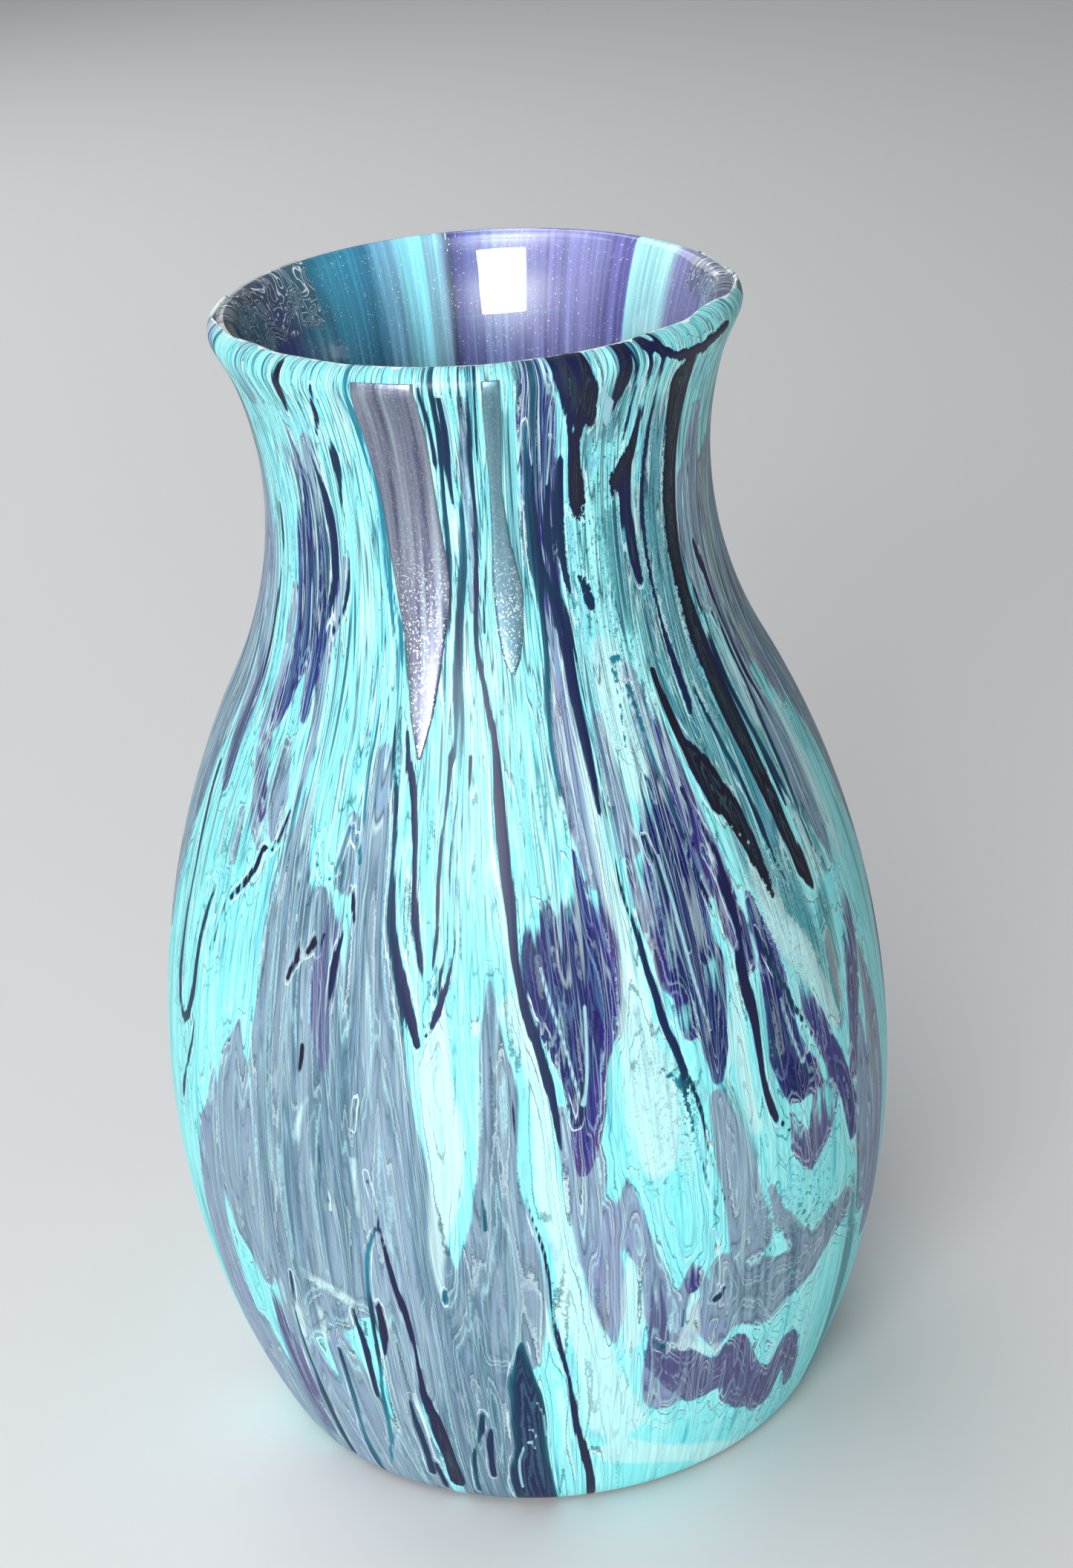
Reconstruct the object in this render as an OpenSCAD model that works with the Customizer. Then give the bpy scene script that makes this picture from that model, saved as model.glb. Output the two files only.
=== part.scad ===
// Blown glass vase with a poured, marbled paint skin.
// The origin is at the centre of the foot, on the table; +Z points up the axis.
// Every layer is turned from the same tangent arcs, offset by its own thickness.

/* [Glass] */
// Height from the table to the top of the lip
height = 240; // [200:1:290]
// Diameter at the widest point of the belly
belly_d = 148.8; // [136:0.2:180]
// Height of the widest point of the belly above the table
belly_z = 77; // [68:0.5:86]
// Diameter at the waist of the neck
neck_d = 85.2; // [70:0.2:96]
// Drop from the lip to the waist of the neck
neck_drop = 34; // [28:0.5:42]
// Drop from the lip to where the shoulder's bulge turns into the neck's hollow
turn_drop = 74.7; // [62:0.1:90]
// Diameter across the lip
lip_d = 100; // [92:0.5:120]
// Diameter of the flat foot
foot_d = 99.4; // [82:0.2:108]
// Radius that rounds the heel into the foot
heel_r = 10; // [6:0.5:13]
// Thickness of the glass wall
wall = 3.8; // [2.5:0.1:6]
// Extra thickness of the fire-polished lip
lip_swell = 0.9; // [0:0.1:2]
// Length of wall over which the lip thickens
lip_len = 9; // [4:0.5:16]
// Height of the inside floor above the table
floor_z = 11; // [7:0.5:16]
// Radius of the inside corner between floor and wall
floor_r = 18; // [8:1:28]
// Width of the flat ring that the foot stands on
foot_ring_w = 8; // [4:0.5:14]
// Depth of the hollow under the foot
kick_depth = 2.2; // [0.5:0.1:4]

/* [Paint] */
// Thickness of the first coat, which wets the glass
ground_t = 0.2; // [0.1:0.05:0.4]
// Thickness of the poured skin
skin_t = 0.6; // [0.3:0.05:1]
// Thickness of the clear coat over the paint
coat_t = 0.2; // [0.1:0.05:0.5]
// Height of the trimmed lower edge of the paint above the table
trim_z = 1.6; // [1.2:0.1:3]
// How far the paint wraps over the lip, as an angle round its edge
wrap_a = 30; // [10:1:40]

/* [Silver runs] */
// Bearing of the long silver run, with 270 at the front
long_run_a = 252; // [200:1:340]
// Width of the long run at the lip
long_run_top_w = 12; // [8:0.5:18]
// Width of the long run where it starts to narrow
long_run_mid_w = 11; // [6:0.5:16]
// Drop from the lip to where the long run starts to narrow
long_run_mid_drop = 42; // [20:1:50]
// Width of the long run's round tip
long_run_tip_w = 3; // [2:0.5:6]
// Drop from the lip to the tip of the long run
long_run_drop = 73; // [60:1:100]
// Bearing of the short silver run
short_run_a = 272.5; // [200:0.5:340]
// Width of the short run at the lip
short_run_top_w = 3.5; // [2:0.5:8]
// Width of the short run at its widest
short_run_mid_w = 5.5; // [3:0.5:8]
// Drop from the lip to the widest place of the short run
short_run_mid_drop = 44; // [20:1:48]
// Width of the short run's round tip
short_run_tip_w = 4; // [2:0.5:6]
// Drop from the lip to the tip of the short run
short_run_drop = 59; // [54:1:90]

/* [Clear coat over the lip] */
// Thickness of the clear coat that ran over the lip
overrun_t = 0.35; // [0.2:0.05:0.6]
// Bearing, half span and reach down the inside of each overrun
overruns = [[161, 23, 12], [4, 14, 6]];

/* [Hidden] */
$fn = 96;

glass_colour = [0.80, 0.90, 0.90, 0.45];
ground_colour = [0.30, 0.42, 0.62];
skin_colour = [0.55, 0.93, 0.93];
silver_colour = [0.66, 0.66, 0.72];
clear_colour = [0.95, 1.0, 1.0, 0.4];

// Points on each arc of the outline
heel_n = 8;
lower_n = 12;
shoulder_n = 14;
neck_n = 9;
flare_n = 12;
cap_n = 12;
floor_n = 8;
kick_n = 6;

belly_r = belly_d / 2;
waist_r = neck_d / 2;
foot_r = foot_d / 2;
neck_z = height - neck_drop;
turn_z = height - turn_drop;
cap_r = (wall + lip_swell) / 2;

// Arcs that make the outside of the glass, each tangent to the next: heel, lower curve,
// shoulder, neck and flare.
heel_c = [foot_r, heel_r];
tuck = belly_r - foot_r;
lower_rise = belly_z - heel_r;
lower_r = (pow(tuck, 2) + pow(lower_rise, 2) - pow(heel_r, 2)) / (2 * (tuck - heel_r));
lower_c = [belly_r - lower_r, belly_z];
heel_a = atan2(heel_c.y - lower_c.y, heel_c.x - lower_c.x);

neck_rise = neck_z - belly_z;
shoulder_a = 2 * atan2(belly_r - waist_r, neck_rise);
shoulder_r = (turn_z - belly_z) / sin(shoulder_a);
neck_r = (neck_z - turn_z) / sin(shoulder_a);
shoulder_c = [belly_r - shoulder_r, belly_z];
neck_c = [waist_r + neck_r, neck_z];

// The flare's middle arc ends at the centre of the lip's round edge.
cap_c = [lip_d / 2 - cap_r, height - cap_r];
flare_out = cap_c.x - (waist_r - wall / 2);
flare_rise = cap_c.y - neck_z;
flare_r = (pow(flare_out, 2) + pow(flare_rise, 2)) / (2 * flare_out) - wall / 2;
flare_c = [waist_r + flare_r, neck_z];
lip_a = asin(flare_rise / (flare_r + wall / 2));

// Inside corner, tangent to the floor and to the inside of the lower curve.
inner_lower_r = lower_r - wall;
corner_z = floor_z + floor_r;
corner_reach = sqrt(pow(inner_lower_r - floor_r, 2) - pow(belly_z - corner_z, 2));
corner_c = [lower_c.x + corner_reach, corner_z];
corner_a = atan2(corner_c.y - lower_c.y, corner_c.x - lower_c.x);

// Shallow dome under the foot.
kick_w = foot_r - foot_ring_w;
kick_r = (pow(kick_w, 2) + pow(kick_depth, 2)) / (2 * kick_depth);
kick_a = asin(kick_w / kick_r);

// The paint's lower edge, as an angle on the heel.
trim_a = -asin((heel_r - trim_z) / heel_r);
skin_in = ground_t;
skin_out = ground_t + skin_t;
coat_out = skin_out + coat_t;

function turn(c, r, a) = c + r * [cos(a), sin(a)];
function arc(c, r, a0, a1, n) = [for (i = [0:n]) turn(c, r, a0 + (a1 - a0) * i / n)];
function rest(points) = [for (i = [1:len(points) - 1]) points[i]];
function back(points) = [for (i = [len(points) - 1:-1:0]) points[i]];
function ease(x) = let (u = min(1, max(0, x))) u * u * (3 - 2 * u);

// Half of the lip's extra thickness at angle a on the flare.
function swell(a) = lip_swell / 2 * ease(1 - (a - (180 - lip_a)) * PI / 180 * flare_r / lip_len);

// The flare, out by t from the glass, on its outer (1) or inner (-1) side, from angle a0 to the lip.
function flare(t, side, a0) = [for (i = [0:flare_n]) let (a = a0 + (180 - lip_a - a0) * i / flare_n)
    turn(flare_c, flare_r - t - side * swell(a), a)];

// The outside of the vase from the heel to the lip, out by t, starting at angle a0 on the heel.
function outside(t, a0) = concat(
    arc(heel_c, heel_r + t, a0, heel_a, heel_n),
    rest(arc(lower_c, lower_r + t, heel_a, 0, lower_n)),
    rest(arc(shoulder_c, shoulder_r + t, 0, shoulder_a, shoulder_n)),
    rest(arc(neck_c, neck_r - t, 180 + shoulder_a, 180, neck_n)),
    rest(flare(t, 1, 180)));

// The inside of the glass from the middle of the floor to the lip.
inside = concat(
    [[0, floor_z]],
    arc(corner_c, floor_r, -90, corner_a, floor_n),
    rest(arc(lower_c, inner_lower_r, corner_a, 0, lower_n)),
    rest(arc(shoulder_c, shoulder_r - wall, 0, shoulder_a, shoulder_n)),
    rest(arc(neck_c, neck_r + wall, 180 + shoulder_a, 180, neck_n)),
    rest(flare(-wall, -1, 180)));

// The rounded edge of the lip, out by t, from the outside to angle a1.
function lip_edge(t, a1, n) = rest(arc(cap_c, cap_r + t, -lip_a, a1, n));

// A film from t0 to t1 outside the glass, wrapped over the lip to angle a1.
module film(t0, t1, a1) {
    rotate_extrude()
        polygon(concat(
            outside(t1, trim_a), lip_edge(t1, a1, cap_n),
            back(concat(outside(t0, trim_a), lip_edge(t0, a1, cap_n)))));
}

// A radial cutter in the outline of a run of paint: its width at the lip, at mid_drop and at the tip.
module run_cutter(bearing, top_w, mid_w, mid_drop, tip_w, drop) {
    tip_c = height - drop + tip_w / 2;
    half = [[tip_w / 2, tip_c], [mid_w / 2, height - mid_drop], [top_w / 2, height + cap_r]];
    rotate([90, 0, bearing + 90])
        linear_extrude(belly_r + coat_out) {
            polygon(concat(half, [for (p = back(half)) [-p.x, p.y]]));
            translate([0, tip_c]) circle(d = tip_w);
        }
}

module long_run_cutter() {
    run_cutter(long_run_a, long_run_top_w, long_run_mid_w, long_run_mid_drop,
        long_run_tip_w, long_run_drop);
}

module short_run_cutter() {
    run_cutter(short_run_a, short_run_top_w, short_run_mid_w, short_run_mid_drop,
        short_run_tip_w, short_run_drop);
}

module glass_vessel() {
    color(glass_colour)
        rotate_extrude()
            polygon(concat(
                arc([0, kick_depth - kick_r], kick_r, 90, 90 - kick_a, kick_n),
                outside(0, -90), lip_edge(0, 180 - lip_a, 2 * cap_n), rest(back(inside))));
}

module ground_coat() {
    color(ground_colour) film(0, skin_in, wrap_a);
}

module poured_skin() {
    color(skin_colour)
        difference() {
            film(skin_in, skin_out, wrap_a);
            long_run_cutter();
            short_run_cutter();
        }
}

module silver_run_long() {
    color(silver_colour)
        intersection() {
            film(skin_in, skin_out, wrap_a);
            long_run_cutter();
        }
}

module silver_run_short() {
    color(silver_colour)
        intersection() {
            film(skin_in, skin_out, wrap_a);
            short_run_cutter();
        }
}

module clear_coat() {
    color(clear_colour) film(skin_out, coat_out, wrap_a);
}

// One tongue of clear coat on the inside of the lip, reaching down the flare.
module overrun(bearing, half_span, reach) {
    low_a = 180 - lip_a + reach / flare_r * 180 / PI;
    face = flare(-wall, -1, low_a);
    front = flare(-wall - overrun_t, -1, low_a);
    rotate(bearing - half_span)
        rotate_extrude(angle = 2 * half_span)
            polygon(concat(face, back(front)));
}

module lip_overrun() {
    color(clear_colour)
        for (o = overruns)
            overrun(o[0], o[1], o[2]);
}

glass_vessel();
ground_coat();
poured_skin();
silver_run_long();
silver_run_short();
clear_coat();
lip_overrun();
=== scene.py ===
"""Blown glass vase with a poured, marbled paint skin, built as add-on operators.

Lengths are metres, as the frame's are. The paint's runs are given on the vase itself: a
bearing in degrees from the front, positive to the right, and a height and half width in mm.
"""
from math import asin, atan2, cos, pi, radians, sin, sqrt

import bmesh
import bpy
import numpy as np
from mathutils import Matrix, Vector


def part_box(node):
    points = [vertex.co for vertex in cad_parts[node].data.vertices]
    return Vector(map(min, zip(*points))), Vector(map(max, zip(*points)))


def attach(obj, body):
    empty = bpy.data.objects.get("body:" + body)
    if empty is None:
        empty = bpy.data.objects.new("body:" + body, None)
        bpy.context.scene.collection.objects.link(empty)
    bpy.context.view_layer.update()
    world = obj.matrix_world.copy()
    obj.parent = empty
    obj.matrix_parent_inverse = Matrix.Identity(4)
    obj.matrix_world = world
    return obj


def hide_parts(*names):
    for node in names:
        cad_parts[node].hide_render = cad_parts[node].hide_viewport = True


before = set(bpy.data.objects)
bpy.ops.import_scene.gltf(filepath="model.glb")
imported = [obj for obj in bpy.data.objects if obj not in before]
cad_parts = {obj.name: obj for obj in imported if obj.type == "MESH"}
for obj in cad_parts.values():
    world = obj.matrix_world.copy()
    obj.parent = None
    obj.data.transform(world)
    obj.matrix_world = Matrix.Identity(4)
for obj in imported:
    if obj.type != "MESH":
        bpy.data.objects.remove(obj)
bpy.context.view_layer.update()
GLASS_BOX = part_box("glass_vessel")

bl_info = {
    "name": "Marbled Glass Vase",
    "version": (1, 0, 0),
    "blender": (4, 5, 0),
    "location": "View3D > Sidebar > Vase",
    "description": "Builds a blown glass vase with a skin of poured, marbled paint",
    "category": "Add Mesh",
}

MM = 0.001
SAME = 1e-6  # points closer than this are one point
STEPS = 192  # columns round the glass and the first coat
STEP = 2.5 * MM  # between the points of the glass's outline
LIP_STEP = 0.4 * MM  # between the points of the lip's round edge
SKIN_STEP = 2.1 * MM  # between the points of the skin's outer face
HIDDEN_STEP = 20 * MM  # between the points of the skin's back, which nobody sees
TUCK = 0.05 * MM  # how far each coat reaches into what is under it
SKIN_FRONT = 86  # bearing in degrees, each way, where the skin's fine front columns end
FRONT_POINTS = 489  # round the front of the skin
BACK_POINTS = 134  # round the back of the skin
SILVER_COLUMNS = 14  # strips across a silver run
SILVER_BACK = 0.25 * MM  # thickness of a silver run under its curved face
VARNISH_T = 0.3 * MM  # how far the varnish stands off the glass
FLOW_R = 60.0  # radius in mm at which the paint's streaks are measured round the vase


class VaseSizes(bpy.types.PropertyGroup):
    """Driving sizes of the glass and its layers."""

    height: bpy.props.FloatProperty(
        name="Height", description="Table to the top of the lip",
        default=round(GLASS_BOX[1][2], 4), unit="LENGTH")
    belly_d: bpy.props.FloatProperty(
        name="Belly", description="Diameter at the widest point",
        default=0.1488, unit="LENGTH")
    belly_z: bpy.props.FloatProperty(
        name="Belly Height", description="Height of the widest point",
        default=0.077, unit="LENGTH")
    neck_d: bpy.props.FloatProperty(
        name="Neck", description="Diameter at the waist of the neck",
        default=0.0852, unit="LENGTH")
    neck_drop: bpy.props.FloatProperty(
        name="Neck Drop", description="Lip down to the waist of the neck",
        default=0.034, unit="LENGTH")
    turn_drop: bpy.props.FloatProperty(
        name="Turn Drop", description="Lip down to where the shoulder's bulge turns hollow",
        default=0.0747, unit="LENGTH")
    lip_d: bpy.props.FloatProperty(
        name="Lip", description="Diameter across the lip", default=0.1, unit="LENGTH")
    foot_d: bpy.props.FloatProperty(
        name="Foot", description="Diameter of the flat foot", default=0.0994, unit="LENGTH")
    heel_r: bpy.props.FloatProperty(
        name="Heel Radius", description="Radius of the heel", default=0.01, unit="LENGTH")
    wall: bpy.props.FloatProperty(
        name="Wall", description="Thickness of the glass", default=0.0038, unit="LENGTH")
    lip_swell: bpy.props.FloatProperty(
        name="Lip Swell", description="Extra thickness of the fire-polished lip",
        default=0.0009, unit="LENGTH")
    lip_len: bpy.props.FloatProperty(
        name="Lip Length", description="Length over which the lip thickens",
        default=0.009, unit="LENGTH")
    floor_z: bpy.props.FloatProperty(
        name="Floor", description="Height of the inside floor", default=0.011, unit="LENGTH")
    floor_r: bpy.props.FloatProperty(
        name="Floor Corner", description="Radius of the inside corner",
        default=0.018, unit="LENGTH")
    foot_ring: bpy.props.FloatProperty(
        name="Foot Ring", description="Width of the ring that the foot stands on",
        default=0.008, unit="LENGTH")
    kick: bpy.props.FloatProperty(
        name="Kick", description="Depth of the hollow under the foot",
        default=0.0022, unit="LENGTH")
    ground_t: bpy.props.FloatProperty(
        name="First Coat", description="Thickness of the first coat",
        default=0.0002, unit="LENGTH")
    skin_t: bpy.props.FloatProperty(
        name="Skin", description="Thickness of the poured skin and its clear coat",
        default=0.0008, unit="LENGTH")
    trim_z: bpy.props.FloatProperty(
        name="Trim", description="Height of the paint's lower edge",
        default=0.0016, unit="LENGTH")
    wrap_a: bpy.props.FloatProperty(
        name="Wrap", description="How far the paint wraps over the lip",
        default=radians(100), subtype="ANGLE")
    wrap_wander: bpy.props.FloatProperty(
        name="Wrap Wander", description="How far the paint's edge on the lip wanders",
        default=radians(9), subtype="ANGLE")
    run_h: bpy.props.FloatProperty(
        name="Run Height", description="How far a silver run stands off the skin",
        default=0.00035, unit="LENGTH")


class VaseColours(bpy.types.PropertyGroup):
    """Colours of the glass, the paints and the stage, as sRGB hex."""

    glass: bpy.props.StringProperty(
        name="Glass", description="Tint of the clear glass", default="#F2F8F6")
    aqua: bpy.props.StringProperty(
        name="Aqua", description="The pour's main colour", default="#8CF8F8")
    ice: bpy.props.StringProperty(
        name="Ice", description="White let into the aqua", default="#DDFFFB")
    teal: bpy.props.StringProperty(
        name="Teal", description="Darker aqua", default="#25848E")
    slate: bpy.props.StringProperty(
        name="Slate", description="Blue grey", default="#869FB0")
    lilac: bpy.props.StringProperty(
        name="Lilac", description="Periwinkle and lavender", default="#8792BA")
    olive: bpy.props.StringProperty(
        name="Olive", description="Grey with green in it", default="#8A9892")
    plum: bpy.props.StringProperty(
        name="Plum", description="Greyed purple", default="#4E3C78")
    violet: bpy.props.StringProperty(
        name="Violet", description="Deep violet", default="#10035A")
    navy: bpy.props.StringProperty(
        name="Navy", description="Deep teal and navy lines", default="#08304C")
    charcoal: bpy.props.StringProperty(
        name="Charcoal", description="Near-black plum grey", default="#161624")
    silver: bpy.props.StringProperty(
        name="Silver", description="Metallic silver paint", default="#787E92")
    floor: bpy.props.StringProperty(
        name="Floor", description="Floor of the studio", default="#DEDEDE")


# ---------------------------------------------------------------- shapes

def turn(centre, r, a):
    """A point on an arc, in the plane of the vase's radius and height."""
    return (centre[0] + r * cos(a), centre[1] + r * sin(a))


def arc(centre, r, a0, a1, step):
    """Points along an arc, about step apart, without its first one."""
    n = max(2, round(abs(a1 - a0) * abs(r) / step))
    return [turn(centre, r, a0 + (a1 - a0) * i / n) for i in range(1, n + 1)]


def ease(x):
    """0 to 1, level at both ends."""
    u = np.clip(x, 0, 1)
    return u * u * (3 - 2 * u)


class Outline:
    """The vase's arcs, worked out from its sizes: heel, lower curve, shoulder, neck and flare."""

    def __init__(self, s):
        self.s = s
        belly_r, waist_r = s.belly_d / 2, s.neck_d / 2
        belly_z, neck_z, turn_z = s.belly_z, s.height - s.neck_drop, s.height - s.turn_drop
        self.cap_r = (s.wall + s.lip_swell) / 2
        self.heel_c = (s.foot_d / 2, s.heel_r)
        tuck = belly_r - s.foot_d / 2
        lower_rise = belly_z - s.heel_r
        self.lower_r = (tuck ** 2 + lower_rise ** 2 - s.heel_r ** 2) / (2 * (tuck - s.heel_r))
        self.lower_c = (belly_r - self.lower_r, belly_z)
        self.heel_a = atan2(s.heel_r - belly_z, s.foot_d / 2 - self.lower_c[0])
        rise = neck_z - belly_z
        self.shoulder_a = 2 * atan2(belly_r - waist_r, rise)
        self.shoulder_r = (turn_z - belly_z) / sin(self.shoulder_a)
        self.neck_r = (neck_z - turn_z) / sin(self.shoulder_a)
        self.shoulder_c = (belly_r - self.shoulder_r, belly_z)
        self.neck_c = (waist_r + self.neck_r, neck_z)
        self.cap_c = (s.lip_d / 2 - self.cap_r, s.height - self.cap_r)
        out = self.cap_c[0] - (waist_r - s.wall / 2)
        up = self.cap_c[1] - neck_z
        self.flare_r = (out ** 2 + up ** 2) / (2 * out) - s.wall / 2
        self.flare_c = (waist_r + self.flare_r, neck_z)
        self.lip_a = asin(up / (self.flare_r + s.wall / 2))

    def flare(self, t, side, step):
        """The flare out by t, on the glass's outer (1) or inner (-1) side, with the lip's swell."""
        end = pi - self.lip_a
        points = arc(self.flare_c, 1.0, pi, end, step / self.flare_r)
        grown = []
        for x, z in points:
            a = atan2(z - self.flare_c[1], x - self.flare_c[0])
            swell = ease(1 - (a - end) * self.flare_r / self.s.lip_len) * self.s.lip_swell / 2
            grown.append(turn(self.flare_c, self.flare_r - t - side * swell, a))
        return grown

    def outside(self, t, a0, step):
        """The outside from angle a0 on the heel up to the lip, out by t."""
        up = pi + self.shoulder_a
        return ([turn(self.heel_c, self.s.heel_r + t, a0)]
                + arc(self.heel_c, self.s.heel_r + t, a0, self.heel_a, step)
                + arc(self.lower_c, self.lower_r + t, self.heel_a, 0, step)
                + arc(self.shoulder_c, self.shoulder_r + t, 0, self.shoulder_a, step)
                + arc(self.neck_c, self.neck_r - t, up, pi, step)
                + self.flare(t, 1, step))

    def lip(self, t, a1, step):
        """The lip's round edge, out by t, on to angle a1."""
        return arc(self.cap_c, self.cap_r + t, -self.lip_a, a1, step)

    def inside(self, step):
        """The inside from the middle of the floor up to the lip."""
        s = self.s
        r = self.lower_r - s.wall
        corner_z = s.floor_z + s.floor_r
        reach = sqrt((r - s.floor_r) ** 2 - (self.lower_c[1] - corner_z) ** 2)
        corner_c = (self.lower_c[0] + reach, corner_z)
        corner_a = atan2(corner_c[1] - self.lower_c[1], reach)
        return ([(0.0, s.floor_z), turn(corner_c, s.floor_r, -pi / 2)]
                + arc(corner_c, s.floor_r, -pi / 2, corner_a, step)
                + arc(self.lower_c, r, corner_a, 0, step)
                + arc(self.shoulder_c, self.shoulder_r - s.wall, 0, self.shoulder_a, step)
                + arc(self.neck_c, self.neck_r + s.wall, pi + self.shoulder_a, pi, step)
                + self.flare(-s.wall, -1, step))

    def film(self, t0, t1, wrap, step, inner_step):
        """A closed loop for a film from t0 to t1 off the glass, from the trimmed heel to the lip."""
        s = self.s
        trim = -asin((s.heel_r - s.trim_z) / s.heel_r)
        face = self.outside(t1, trim, step) + self.lip(t1, wrap, LIP_STEP)
        back = self.outside(t0, trim, inner_step) + self.lip(t0, wrap, inner_step)
        return face + back[::-1]


def wrapped(name, points, turns, closed=True):
    """A flat grid wrapped round the vase's axis: its rows follow the points, its columns the turns."""
    line = np.array(points + points[:1] if closed else points)
    bm = bmesh.new()
    bmesh.ops.create_grid(bm, x_segments=len(turns) - 1, y_segments=len(line) - 1, size=1)
    for v in bm.verts:
        column = round((v.co.x + 1) / 2 * (len(turns) - 1))
        row = round((v.co.y + 1) / 2 * (len(line) - 1))
        r, z = line[row]
        v.co = (r * sin(turns[column]), -r * cos(turns[column]), z)
    bmesh.ops.remove_doubles(bm, verts=bm.verts, dist=SAME)
    bmesh.ops.recalc_face_normals(bm, faces=bm.faces)
    for f in bm.faces:
        f.smooth = True
    return placed(name, bm)


def placed(name, bm):
    """A bmesh as an object in the scene."""
    mesh = bpy.data.meshes.new(name)
    bm.to_mesh(mesh)
    bm.free()
    piece = bpy.data.objects.new(name, mesh)
    bpy.context.scene.collection.objects.link(piece)
    return piece


def points_of(mesh):
    """A mesh's points as an array."""
    co = np.empty(len(mesh.vertices) * 3, np.float32)
    mesh.vertices.foreach_get("co", co)
    return co.reshape(-1, 3).astype(float)


def put_points(mesh, co):
    """Writes points back to a mesh."""
    mesh.vertices.foreach_set("co", co.astype(np.float32).ravel())
    mesh.update()


def ripples(bearing, z, seed, count, turns, lengths, size):
    """A seeded sum of waves round and along the vase, seamless round it. z and lengths in mm."""
    rng = np.random.default_rng(seed)
    total = np.zeros_like(z)
    for _ in range(count):
        n = rng.integers(turns[0], turns[1] + 1)
        length = rng.uniform(*lengths)
        sign = rng.choice((-1, 1))
        phase = rng.uniform(0, 2 * pi)
        total += np.sin(n * np.radians(bearing) + sign * 2 * pi * z / length + phase)
    return total * size / sqrt(count)


# ---------------------------------------------------------------- the pour

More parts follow.
